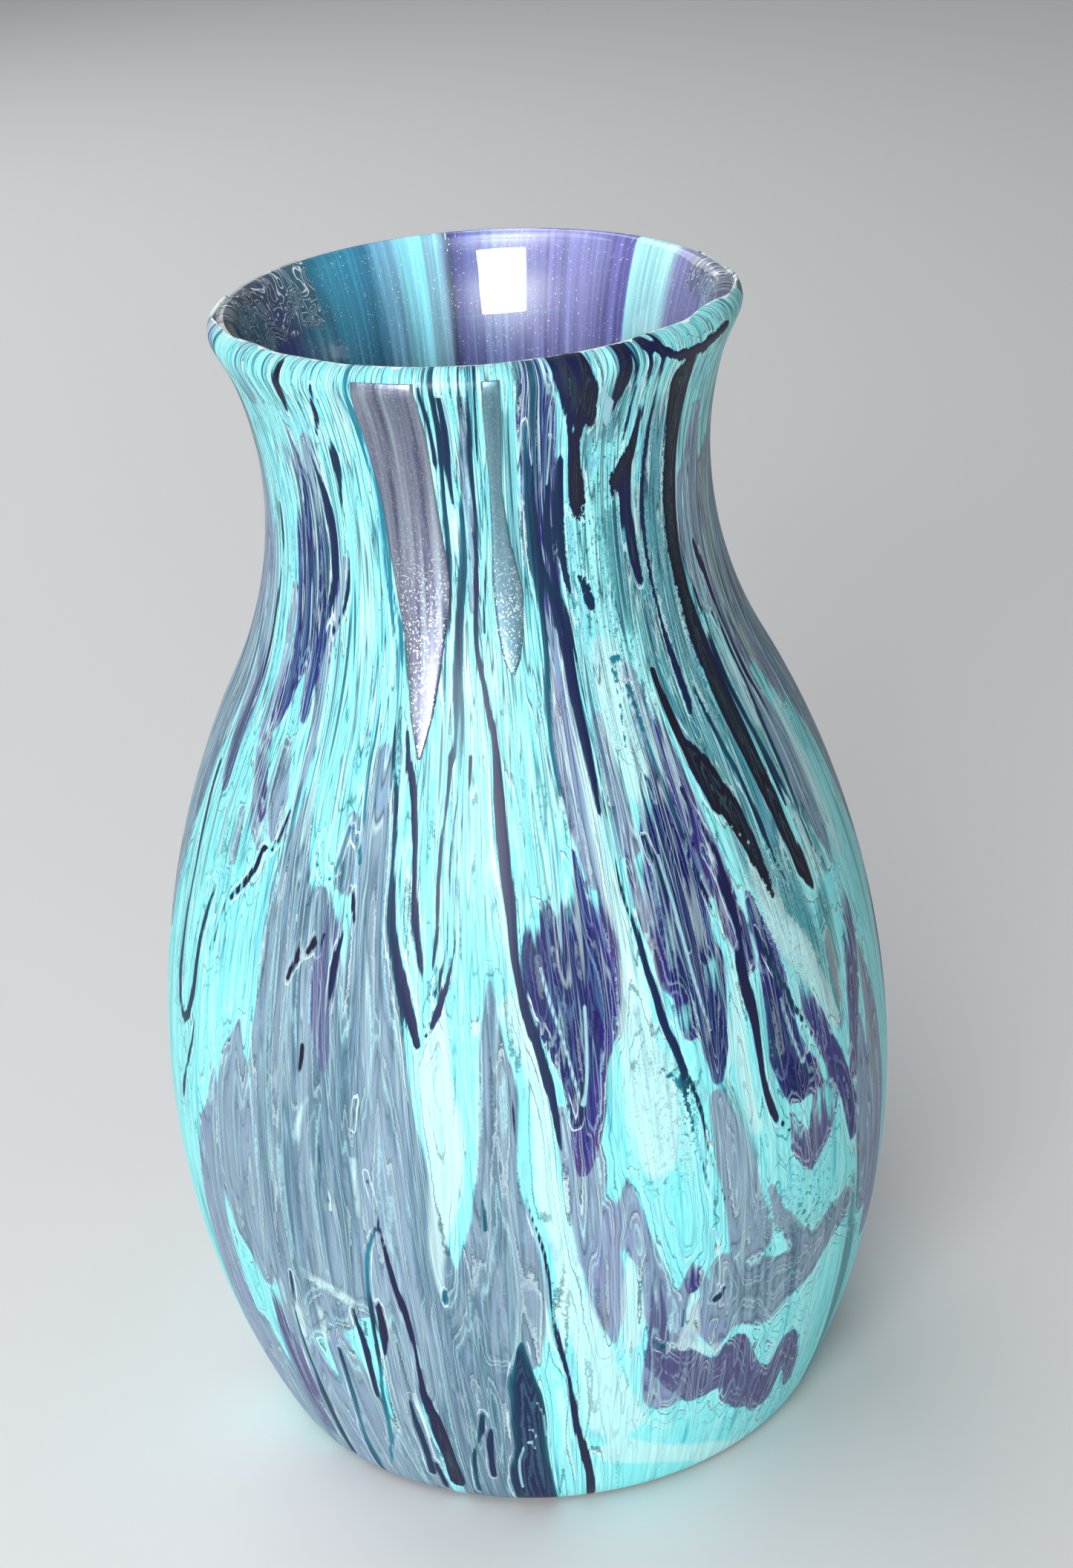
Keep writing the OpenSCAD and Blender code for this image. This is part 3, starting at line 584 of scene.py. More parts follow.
TEAL = [
    (0, [(36, 196, 2), (38, 180, 3), (41, 165, 4), (44, 150, 4), (47, 138, 3.5), (50, 126, 2)]),
    (0, [(47, 172, 2), (48, 158, 3), (49, 144, 3), (51, 130, 3), (54, 116, 2.4), (56, 100, 2)]),
    (0, [(57, 172, 2), (58, 156, 2), (60, 140, 2.4), (62, 128, 1)]),
    (0, [(29, 100, 1), (31, 92, 2), (33, 84, 1.6)]),
    (0, [(58, 62, 1), (60, 48, 2.4), (60.5, 34, 3), (62, 18, 2.4), (62, 4, 2)]),
    (0, [(44, 226, 1.5), (45, 216, 3), (45, 204, 3.4), (45, 190, 3.4), (46, 178, 3.2), (46.4, 166, 2.6)]),
    (0, [(31, 244, 2.5), (30.5, 226, 3)]),
    (0, [(31, 205, 3), (31.5, 195, 3), (32, 187, 1.5)]),
    (0, [(38.6, 210, 1), (39, 195, 1.5), (38.5, 180, 2.5)]),
    (0, [(22.5, 240, .8), (23.5, 224, 1), (23.4, 216, .8)]),
    (0, [(4.5, 232, .8), (4.6, 212, 1), (5.6, 200, 1.4), (5.6, 190, 1)]),
    (0, [(42, 150, 1), (43, 142, 2), (44, 134, 1.5)]),
    (0, [(58, 124, 2), (57.5, 112, 3)]),
]
LACE = [
    (0, [(24, 208, 5), (26, 190, 6), (26, 172, 5)]),
    (0, [(28, 224, 4), (30, 212, 4)]),
    (0, [(45, 218, 3), (45, 190, 4), (46, 168, 3)]),
    (0, [(19, 112, 2), (19, 100, 6), (19, 86, 5)]),
    (0, [(46, 135, 5), (50, 118, 6)]),
    (0, [(31, 195, 4)]),
    (0, [(46, 66, 6), (35, 70, 4)]),
    (0, [(3, 155, 1.5), (6, 160, 2)]),
    (0, [(7.4, 90, 3)]),
    (0, [(42, 12, 2), (50, 14, 2)]),
]
SILVER_LONG = [(-20.2, 239, 6), (-20.4, 232, 6.2), (-19.8, 220, 6), (-18.8, 208, 5.5), (-17.8, 198, 5.2),
               (-17.6, 190, 4.5), (-17.8, 182, 3.6), (-18.2, 174, 2.2), (-18.2, 167, .3)]
SILVER_SHORT = [(2, 239, 1.7), (1.9, 228, 1.5), (1.8, 216, 1.3), (2.2, 206, 1.7), (3, 196, 2.7),
                (2.8, 189, 2.6), (2.6, 184, 1.8), (2.5, 181, .3)]

FINEST = 0.33  # narrowest half width in mm that the skin's points can carry
REACH = 12.0  # furthest distance in mm that the fields are kept for
BLEND = 0.4  # how softly neighbouring runs join, in mm
TINT_BLEND = 1.5  # how softly their tints join, in mm
WAIST_MM = 0.74  # mm to a degree round the waist of the neck, the least there is
FADE = 14.0  # mm below its top at which a plum or violet body is at full strength
BACK = (80, 280)  # bearings in degrees of the part that the listed runs leave out


def local(path, u, z, per_degree):
    """Depth of each point inside one run, in mm: its half width less the distance to its middle."""
    depth = np.full_like(z, -REACH)
    for (u0, z0, w0), (u1, z1, w1) in zip(path, path[1:]):
        across = ((u - u0 + 180) % 360 - 180) * per_degree
        run = (u1 - u0) * per_degree
        drop = z1 - z0
        share = np.clip((across * run + (z - z0) * drop) / (run ** 2 + drop ** 2), 0, 1)
        gap = np.hypot(across - share * run, z - z0 - share * drop)
        w0, w1 = max(w0, FINEST), max(w1, FINEST)
        np.maximum(depth, w0 + share * (w1 - w0) - gap, out=depth)
    return depth


def joined(runs, u, z, per_degree):
    """The runs as one: depth in mm, tint, and how far below its top each point is in mm."""
    total = np.full_like(z, np.exp(-REACH / BLEND))
    weight = np.full_like(z, 1e-6)
    tint = np.zeros_like(z)
    below = np.zeros_like(z)
    for shade, path in runs:
        us, zs, ws = (np.array(part) for part in zip(*path))
        room = REACH + ws.max()
        span = (us.max() - us.min()) / 2 + room / WAIST_MM
        near = np.abs((u - (us.max() + us.min()) / 2 + 180) % 360 - 180) < span
        near &= (z > zs.min() - room) & (z < zs.max() + room)
        depth = local(path, u[near], z[near], per_degree[near])
        total[near] += np.exp(depth / BLEND)
        w = np.exp(depth / TINT_BLEND)
        weight[near] += w
        tint[near] += w * shade
        below[near] += w * (path[0][1] - z[near])
    return np.clip(BLEND * np.log(total), -REACH, REACH), tint / weight, below / weight


def back_runs(seed, count, shades, widths, lengths):
    """Runs for the back of the vase, drawn at random round it."""
    rng = np.random.default_rng(seed)
    runs = []
    for _ in range(count):
        u = rng.uniform(*BACK)
        z = rng.choice((244.0, rng.uniform(70, 235), rng.uniform(60, 140)))
        end = max(2.0, z - rng.uniform(*lengths))
        width = rng.uniform(*widths)
        drift = rng.uniform(-0.05, 0.05)
        bend = rng.uniform(0, 2 * pi)
        path = []
        for share in np.linspace(0, 1, 7):
            at = z + (end - z) * share
            side = 2.2 * sin(bend + at / 21) + drift * (z - at)
            full = width * (0.25 + 0.75 * sin(pi * min(1, 0.12 + share * 0.9)))
            path.append((u + side, at, full))
        runs.append((rng.uniform(*shades), path))
    return runs


# ---------------------------------------------------------------- materials

def colour(text, alpha=1.0):
    """An sRGB hex colour as linear RGBA."""
    parts = [int(text[i:i + 2], 16) / 255 for i in (1, 3, 5)]
    return [p / 12.92 if p <= 0.04045 else ((p + 0.055) / 1.055) ** 2.4 for p in parts] + [alpha]


def add(tree, kind, links=(), out=0, stops=(), **settings):
    """Adds a node with its settings, links or fills its inputs, and gives one of its outputs."""
    node = tree.nodes.new("ShaderNode" + kind)
    for key, value in settings.items():
        setattr(node, key, value)
    for key, value in dict(links).items():
        if isinstance(value, bpy.types.NodeSocket):
            tree.links.new(value, node.inputs[key])
        else:
            node.inputs[key].default_value = value
    for i, (at, value) in enumerate(stops):
        ramp = node.color_ramp.elements
        stop = ramp[i] if i < 2 else ramp.new(at)
        stop.position = at
        stop.color = value
    return node.outputs[out] if len(node.outputs) else node


def fresh(name):
    """A new material with an empty tree."""
    mat = bpy.data.materials.new(name)
    mat.use_nodes = True
    mat.node_tree.nodes.clear()
    return mat, mat.node_tree


def flow(tree, here, along):
    """The vase's surface unrolled on a drum of FLOW_R mm, its height in mm times along."""
    level = add(tree, "VectorMath", {0: here, 1: (1, 1, 0)}, operation="MULTIPLY")
    unit = add(tree, "VectorMath", {0: level}, operation="NORMALIZE")
    height = add(tree, "VectorMath", {0: here, 1: (0, 0, along / MM)}, operation="MULTIPLY")
    return add(tree, "VectorMath", {0: unit, 1: (FLOW_R, FLOW_R, 0), 2: height},
               operation="MULTIPLY_ADD")


def clear_glass(c):
    """Blown soda-lime glass, fire polished. A lamp's light passes it straight to the paint."""
    mat, t = fresh("Soda-lime glass, fire polished")
    glass = add(t, "BsdfPrincipled", {"Base Color": colour(c.glass), "Roughness": 0.02,
                                      "Transmission Weight": 1.0, "IOR": 1.5})
    through = add(t, "BsdfTransparent", {"Color": colour(c.glass)})
    shadow = add(t, "LightPath", out="Is Shadow Ray")
    add(t, "OutputMaterial", {"Surface": add(t, "MixShader", {0: shadow, 1: glass, 2: through})})
    return mat


def first_coat(c):
    """Gloss acrylic poured on the bare glass: streaks of colour seen from inside the vase."""
    mat, t = fresh("Poured acrylic first coat, gloss")
    here = add(t, "TexCoord", out="Object")
    split = add(t, "SeparateXYZ", {0: here}).node
    side = add(t, "Math", {0: split.outputs["X"], 1: split.outputs["Y"]}, operation="ARCTAN2")
    broad = add(t, "TexNoise", {"Vector": flow(t, here, 0.02), "Scale": 0.16, "Detail": 3.0,
                                "Roughness": 0.6})
    fine = add(t, "TexNoise", {"Vector": flow(t, here, 0.03), "Scale": 0.7, "Detail": 2.0,
                               "Roughness": 0.6})
    shift = add(t, "Math", {0: broad, 1: 0.36, 2: side}, operation="MULTIPLY_ADD")
    place = add(t, "MapRange", {0: shift, 1: -pi / 2 + 0.18, 2: pi / 2 + 0.18})
    # The streaks' colours go by bearing round the inner wall; the dark navy and indigo stops near the ramp's
    # left end are painted shade on the left side of the inner wall.
    streaks = add(t, "ValToRGB", {0: place}, stops=[
        (0.0, colour("#5F93A6")), (1.0, colour("#8F8DBE")), (0.05, colour("#1D3A54")),
        (0.13, colour("#3A4C7E")), (0.19, colour("#4E5FA0")), (0.22, colour("#2C7A9C")),
        (0.3, colour("#3F9CBC")), (0.35, colour("#2F7C9E")), (0.4, colour("#7BB4D2")),
        (0.43, colour("#8EE6F2")), (0.45, colour("#7FA6C0")), (0.462, colour("#1C2A60")),
        (0.49, colour("#3E3E8C")), (0.53, colour("#6A78BA")), (0.6, colour("#6C66AC")),
        (0.68, colour("#8A88C4")), (0.735, colour("#5E58A0")), (0.75, colour("#9FDCE4")),
        (0.81, colour("#B4E6EC")), (0.84, colour("#8583B4"))])
    dark = add(t, "MapRange", {0: fine, 1: 0.3, 2: 0.7, 3: 0.5, 4: 1.05})
    toned = add(t, "VectorMath", {0: streaks, "Scale": dark}, operation="SCALE")
    # Paler in streaks lower down the inner wall; the darker colours kept just under the lip are painted
    # shade.
    low = add(t, "MapRange", {0: split.outputs["Z"], 1: 0.228, 2: 0.195})
    pale_streaks_below_lip_shade = add(t, "MapRange", {0: fine, 1: 0.48, 2: 0.75, 4: 0.6})
    toned = add(t, "Mix", {0: add(t, "Math", {0: low, 1: pale_streaks_below_lip_shade}, operation="MULTIPLY"), 6: toned,
                           7: colour("#C2D8F2")}, out=2, data_type="RGBA")
    # Pale specks: flakes in the paint painted near-white as glints, a painted highlight.
    flake = add(t, "TexNoise", {"Vector": flow(t, here, 1.0), "Scale": 2.6, "Detail": 2.0})
    glint = add(t, "MapRange", {0: flake, 1: 0.68, 2: 0.72})
    surface = add(t, "BsdfPrincipled", {
        "Base Color": add(t, "Mix", {0: glint, 6: toned, 7: colour("#EDF4F6")}, out=2,
                          data_type="RGBA"),
        "Roughness": 0.35})
    add(t, "OutputMaterial", {"Surface": surface})
    return mat


def marbled_skin(c):
    """Acrylic pour: aqua cut with slate, plum and navy runs, sealed with satin varnish."""
    mat, t = fresh("Marbled acrylic pour, satin varnish")
    here = add(t, "TexCoord", out="Object")
    bodies = add(t, "SeparateXYZ", {0: add(t, "Attribute", out="Vector", attribute_name="bodies")}).node
    tints = add(t, "SeparateXYZ", {0: add(t, "Attribute", out="Vector", attribute_name="tints")}).node
    lights = add(t, "SeparateXYZ", {0: add(t, "Attribute", out="Vector", attribute_name="lights")}).node
    fade = add(t, "Attribute", out="Fac", attribute_name="fade")
    over = add(t, "Attribute", out="Fac", attribute_name="over")
    rim = add(t, "Attribute", out="Fac", attribute_name="rim")
    height = add(t, "SeparateXYZ", {0: here}, out="Z")
    slow, quick = flow(t, here, 0.045), flow(t, here, 0.12)
    broad = add(t, "TexNoise", {"Vector": slow, "Scale": 0.13, "Detail": 2.5, "Distortion": 0.4})
    streak = add(t, "TexNoise", {"Vector": slow, "Scale": 0.55, "Detail": 3.0, "Roughness": 0.6})
    wave = add(t, "TexNoise", {"Vector": quick, "Scale": 0.4, "Detail": 2.0})
    grain = add(t, "TexNoise", {"Vector": flow(t, here, 0.8), "Scale": 1.1, "Detail": 3.0,
                                "Roughness": 0.65})
    lacy = add(t, "MapRange", {0: lights.outputs["Z"], 1: -2.0, 2: 2.0})
    bite = add(t, "MapRange", {0: lacy, 3: 0.25, 4: 4.5})
    jag = add(t, "Math", {0: add(t, "Math", {0: grain, 1: 0.5}, operation="SUBTRACT"), 1: bite},
              operation="MULTIPLY")
    sway = add(t, "Math", {0: add(t, "Math", {0: wave, 1: 0.5}, operation="SUBTRACT"), 1: 1.6, 2: jag},
               operation="MULTIPLY_ADD")

    def shifted(value, scale, base):
        """A noise about zero, scaled and laid on a base."""
        middle = add(t, "Math", {0: value, 1: 0.5}, operation="SUBTRACT")
        return add(t, "Math", {0: middle, 1: scale, 2: base}, operation="MULTIPLY_ADD")

    def layer(under, depth, paint, soft=0.16, strength=1.0):
        """Lays a paint over another where the depth is above zero."""
        mask = add(t, "MapRange", {0: depth, 1: -soft, 2: soft, 4: strength},
                   interpolation_type="SMOOTHSTEP")
        return add(t, "Mix", {0: mask, 6: under, 7: paint}, out=2, data_type="RGBA")

    # The noise scales are per mm: 0.13 makes patches about 8 mm wide, 0.34 and 0.55 strands
    # about 3 and 2 mm wide, and 1.1 grain about 1 mm across.

    # the aqua ground and its streaks, with teal and specks worked in
    base = add(t, "ValToRGB", {0: streak}, stops=[
        (0.3, colour("#48C4D2")), (0.72, colour("#C0FFFC")), (0.42, colour(c.aqua)),
        (0.52, colour("#8CF6F8")), (0.6, colour("#A2FCFB"))])
    teal = add(t, "Math", {0: lights.outputs["Y"], 1: sway}, operation="ADD")
    base = layer(base, teal, colour(c.teal), 1.2, 0.85)
    specks = add(t, "MapRange", {0: grain, 1: 0.56, 2: 0.6})
    specks = add(t, "Math", {0: specks, 1: lacy}, operation="MULTIPLY")
    base = add(t, "Mix", {0: specks, 6: base, 7: colour("#2B8E98")}, out=2, data_type="RGBA")

    # slate, lilac and olive bodies
    s = add(t, "Math", {0: bodies.outputs["X"], 1: sway}, operation="ADD")
    tint = shifted(streak, 1.3, shifted(broad, 0.6, tints.outputs["X"]))
    grey = add(t, "ValToRGB", {0: tint}, stops=[
        (0.0, colour("#5E7C90")), (1.0, colour(c.olive)), (0.2, colour(c.slate)),
        (0.45, colour("#8099B0")), (0.65, colour(c.lilac)), (0.8, colour("#87909E"))])
    base = layer(base, s, grey, 0.35)

    # ice let into the greys
    ice = add(t, "Math", {0: lights.outputs["X"], 1: sway}, operation="ADD")
    base = layer(base, ice, colour(c.ice), 0.7, 0.6)

    # plum and violet bodies, streaky at their tops and deepest in their middles
    d = add(t, "Math", {0: bodies.outputs["Y"], 1: sway}, operation="ADD")
    d = add(t, "Math", {0: d, 1: 0.7}, operation="ADD")
    deep = add(t, "MapRange", {0: d, 2: 3.0, 3: -0.2, 4: 0.35})
    deep = add(t, "Math", {0: deep, 1: add(t, "MapRange", {0: tints.outputs["Y"], 2: 0.5, 3: 0.1})},
               operation="MULTIPLY")
    tops = shifted(streak, 3.4, fade)
    tops = add(t, "MapRange", {0: tops, 1: 0.0, 2: 0.45}, interpolation_type="SMOOTHSTEP")
    tint = add(t, "Math", {0: shifted(streak, 0.6, tints.outputs["Y"]), 1: deep}, operation="ADD")
    dusk = add(t, "ValToRGB", {0: tint}, stops=[
        (0.0, colour("#5C6088")), (1.0, colour(c.violet)), (0.2, colour(c.plum)),
        (0.45, colour("#34187C")), (0.65, colour("#180664"))])
    mask = add(t, "MapRange", {0: d, 1: -0.25, 2: 0.25}, interpolation_type="SMOOTHSTEP")
    base = add(t, "Mix", {0: add(t, "Math", {0: mask, 1: tops}, operation="MULTIPLY"), 6: base, 7: dusk},
               out=2, data_type="RGBA")

    # rings that nest round every run, and strands drawn down from the lip
    nest = add(t, "Math", {0: bodies.outputs["X"], 1: bodies.outputs["Y"]}, operation="MAXIMUM")
    nest = add(t, "Math", {0: nest, 1: bodies.outputs["Z"]}, operation="MAXIMUM")
    phase = add(t, "Math", {0: broad, 1: 8.0, 2: jag}, operation="MULTIPLY_ADD")
    phase = add(t, "Math", {0: nest, 1: 0.2, 2: phase}, operation="MULTIPLY_ADD")
    rings = add(t, "ValToRGB", {0: add(t, "Math", {0: phase}, operation="FRACT")}, stops=[
        (0.0, colour("#BCFBFE", 0)), (1.0, colour("#BCFBFE", 0)),
        (0.07, colour("#BCFBFE", 0.7)), (0.16, colour("#BCFBFE", 0)),
        (0.25, colour("#2C5A78", 0)), (0.31, colour("#24506E", 0.85)),
        (0.37, colour("#2C5A78", 0)), (0.48, colour("#8FB4D8", 0)), (0.55, colour("#8FB4D8", 0.6)),
        (0.62, colour("#8FB4D8", 0)), (0.72, colour("#1F4058", 0)), (0.78, colour("#1F4058", 0.85)),
        (0.83, colour("#E6FFFF", 0.6)), (0.9, colour("#E6FFFF", 0))]).node
    near = add(t, "MapRange", {0: nest, 1: -7.0, 2: -1.0, 3: 0.12})
    calm = add(t, "MapRange", {0: nest, 1: 0.5, 2: 3.0, 3: 1.0, 4: 0.55})
    near = add(t, "Math", {0: near, 1: calm}, operation="MULTIPLY")
    near = add(t, "Math", {0: near, 1: rings.outputs["Alpha"]}, operation="MULTIPLY")
    quiet = add(t, "MapRange", {0: d, 1: 0.3, 2: 1.5, 3: 1.0, 4: 0.55})
    near = add(t, "Math", {0: near, 1: quiet}, operation="MULTIPLY")
    base = add(t, "Mix", {0: near, 6: base, 7: rings.outputs["Color"]}, out=2, data_type="RGBA")
    strand = add(t, "TexNoise", {"Vector": slow, "Scale": 0.34, "Detail": 2.0, "Roughness": 0.5,
                                 "Distortion": 0.35})
    ribbons = add(t, "ValToRGB", {0: strand}, stops=[
        (0.0, colour("#173A50")), (1.0, colour("#2B5E7C")), (0.33, colour("#1D5468", 0.95)),
        (0.36, colour("#7FE0E6", 0)), (0.385, colour("#CCFFFF", 0)), (0.405, colour("#CCFFFF", 0.8)),
        (0.425, colour("#1C4C66", 0)), (0.445, colour("#1C3C56", 0.95)), (0.468, colour("#2F6A86", 0)),
        (0.49, colour("#6AA2CC", 0)), (0.505, colour("#6AA2CC", 0.7)), (0.525, colour("#6AA2CC", 0)),
        (0.535, colour("#16324E", 0)), (0.555, colour("#132E4C", 0.95)), (0.575, colour("#DDFFFF", 0.6)),
        (0.595, colour("#DDFFFF", 0)), (0.625, colour("#1C4C66", 0)), (0.65, colour("#1C4C66", 0.9)),
        (0.68, colour("#CCFFFF", 0.7)), (0.74, colour("#2B5E7C", 0.9))]).node
    drawn = add(t, "MapRange", {0: height, 1: 0.1, 2: 0.18, 3: 0.25, 4: 0.95})
    drawn = add(t, "Math", {0: drawn, 1: ribbons.outputs["Alpha"]}, operation="MULTIPLY")
    base = add(t, "Mix", {0: drawn, 6: base, 7: ribbons.outputs["Color"]}, out=2, data_type="RGBA")

    # navy and charcoal lines, each with a thin pale echo
    here_and_there = add(t, "MapRange", {0: wave, 1: 0.48, 2: 0.62, 4: 0.7})
    s = add(t, "Math", {0: sway, 1: 0.5, 2: bodies.outputs["Z"]}, operation="MULTIPLY_ADD")
    s = shifted(streak, 2.0, add(t, "Math", {0: s, 1: 0.2}, operation="SUBTRACT"))
    deep = add(t, "MapRange", {0: s, 2: 2.0, 3: -0.1, 4: 0.3})
    tint = add(t, "Math", {0: shifted(streak, 0.5, tints.outputs["Z"]), 1: deep}, operation="ADD")
    ink = add(t, "ValToRGB", {0: tint}, stops=[
        (0.0, colour("#1E7C92")), (1.0, colour(c.charcoal)), (0.3, colour(c.navy)),
        (0.55, colour("#0F1C4C")), (0.8, colour("#1C1A38"))])
    echo = add(t, "Math", {0: s, 1: -0.5, 2: 0.14}, operation="COMPARE")
    echo = add(t, "Math", {0: echo, 1: here_and_there}, operation="MULTIPLY")
    base = add(t, "Mix", {0: echo, 6: base, 7: colour("#E4FFFF")}, out=2, data_type="RGBA")
    base = layer(base, s, ink, 0.12)
    wide = add(t, "MapRange", {0: s, 1: 0.7, 2: 1.8, 4: 0.5})
    wide = add(t, "Math", {0: wide, 1: rings.outputs["Alpha"]}, operation="MULTIPLY")
    base = add(t, "Mix", {0: wide, 6: base, 7: colour("#4F8296")}, out=2, data_type="RGBA")
    base = layer(base, add(t, "Math", {0: over, 1: 0.15}, operation="SUBTRACT"), colour("#9CCBD6"), 0.15)
    # A near-white line along the paint's edge on the lip: partly the paint's pale edge, partly a painted
    # highlight on the lip's crest.
    base = layer(base, shifted(wave, -4.0, add(t, "Math", {0: 0.35, 1: rim}, operation="SUBTRACT")),
                 colour("#F4FFFF"), 0.1)

    relief = add(t, "Bump", {"Height": add(t, "MapRange", {0: s, 1: -0.8, 2: 0.8}),
                             "Distance": 0.0003, "Strength": 0.35})
    surface = add(t, "BsdfPrincipled", {"Base Color": base, "Roughness": 0.5, "Specular IOR Level": 0.2,
                                        "Coat Weight": 0.08, "Coat Roughness": 0.25,
                                        "Normal": relief})
    add(t, "OutputMaterial", {"Surface": surface})
    return mat


def silver_paint(c):
    """Metallic silver acrylic, poured: fine flake in a grey-violet binder, with a painted highlight on the
    flake lower down.
    """
    mat, t = fresh("Metallic silver acrylic, poured")
    here = add(t, "TexCoord", out="Object")
    streak = add(t, "TexNoise", {"Vector": flow(t, here, 0.05), "Scale": 0.6, "Detail": 3.0})
    flake = add(t, "TexVoronoi", {"Vector": flow(t, here, 1.0), "Scale": 3.2}, out="Color")
    split = add(t, "SeparateXYZ", {0: here}).node
    # Flake painted near-white, strongest below about 190 mm: partly the flake itself, partly a painted
    # highlight where the light catches the runs.
    low = add(t, "MapRange", {0: split.outputs["Z"], 1: 0.208, 2: 0.19, 3: 0.12, 4: 0.9})
    glitter_and_highlight = add(t, "MapRange", {0: flake, 1: 0.7, 2: 0.84})
    glitter_and_highlight = add(t, "Math", {0: glitter_and_highlight, 1: low}, operation="MULTIPLY")
    tone = add(t, "ValToRGB", {0: streak}, stops=[
        (0.3, colour("#4C506C")), (0.7, colour("#93A2B0")), (0.5, colour(c.silver))])
    tone = add(t, "Mix", {0: add(t, "MapRange", {0: split.outputs["X"], 1: -0.006, 2: -0.002, 4: 0.6}),
                          6: tone, 7: colour("#4E8E98")}, out=2, data_type="RGBA")
    paint = add(t, "Mix", {0: glitter_and_highlight, 6: tone, 7: colour("#F2F6F8")}, out=2, data_type="RGBA")
    bumps = add(t, "Bump", {"Height": flake, "Distance": 0.0001, "Strength": 0.3})
    surface = add(t, "BsdfPrincipled", {"Base Color": paint, "Metallic": 0.6, "Roughness": 0.38,
                                        "Coat Weight": 0.4, "Coat Roughness": 0.15,
                                        "Normal": bumps})
    add(t, "OutputMaterial", {"Surface": surface})
    return mat


def varnish(c):
    """Clear varnish run over the lip, milky where it dried thick and open in between."""
    mat, t = fresh("Clear acrylic varnish, dried thick")
    here = add(t, "TexCoord", out="Object")
    edge = add(t, "Attribute", out="Fac", attribute_name="edge")
    curls = add(t, "TexNoise", {"Vector": flow(t, here, 1.0), "Scale": 0.2, "Detail": 1.0,
                                "Distortion": 1.0})
    lines = add(t, "Math", {0: add(t, "Math", {0: curls, 1: 9.0}, operation="MULTIPLY"), 1: 0.5},
                operation="PINGPONG")
    line = add(t, "MapRange", {0: lines, 1: 0.36, 2: 0.46, 4: 0.95})
    body = add(t, "Math", {0: line, 1: 0.4}, operation="MAXIMUM")
    inside = add(t, "Math", {0: curls, 1: 1.5, 2: edge}, operation="MULTIPLY_ADD")
    mask = add(t, "MapRange", {0: inside, 1: 0.7, 2: 0.78})
    surface = add(t, "BsdfPrincipled", {
        "Base Color": add(t, "Mix", {0: line, 6: colour("#5A6E78"), 7: colour("#EEF8FC")}, out=2,
                          data_type="RGBA"),
        "Roughness": 0.2,
        "Alpha": add(t, "Math", {0: body, 1: mask}, operation="MULTIPLY")})
    add(t, "OutputMaterial", {"Surface": surface})
    return mat


# ---------------------------------------------------------------- operators

def settings():
    """The scene's sizes and colours."""
    return bpy.context.scene.vase_sizes, bpy.context.scene.vase_colours


def finish_piece(piece, mat, slot, *nodes):
    """Gives a piece its material and ties it to the frame."""
    piece.data.materials.append(mat)
    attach(piece, "root")
    if nodes:
        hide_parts(*nodes)


def bearings(co):
    """Each point's bearing in degrees, height and radius in mm."""
    u = np.degrees(np.arctan2(co[:, 0], -co[:, 1]))
    return u, co[:, 2] / MM, np.hypot(co[:, 0], co[:, 1]) / MM


class VASE_OT_glass(bpy.types.Operator):
    """Blows the clear glass vessel"""
    bl_idname = "vase.glass"
    bl_label = "Glass"

    def execute(self, context):
        s, c = settings()
        o = Outline(s)
        kick_w = s.foot_d / 2 - s.foot_ring
        kick_r = (kick_w ** 2 + s.kick ** 2) / (2 * s.kick)
        kick = [(kick_r * sin(a), s.kick - kick_r * (1 - cos(a)))
                for a in np.linspace(0, asin(kick_w / kick_r), 10)]
        points = (kick + o.outside(0, -pi / 2, STEP) + o.lip(0, pi - o.lip_a, LIP_STEP)
                  + o.inside(STEP)[-2::-1])
        piece = wrapped("Glass_vessel", points, np.linspace(-pi, pi, STEPS + 1), closed=False)
        finish_piece(piece, clear_glass(c), "glass", "glass_vessel")
        return {"FINISHED"}


class VASE_OT_first_coat(bpy.types.Operator):
    """Pours the first coat of paint on the glass"""
    bl_idname = "vase.first_coat"
    bl_label = "First Coat"

    def execute(self, context):
        s, c = settings()
        o = Outline(s)
        loop = o.film(-TUCK, s.ground_t, 0.0, STEP, STEP)
        piece = wrapped("First_coat", loop, np.linspace(-pi, pi, STEPS + 1))
        finish_piece(piece, first_coat(c), "ground_paint", "ground_coat")
        return {"FINISHED"}


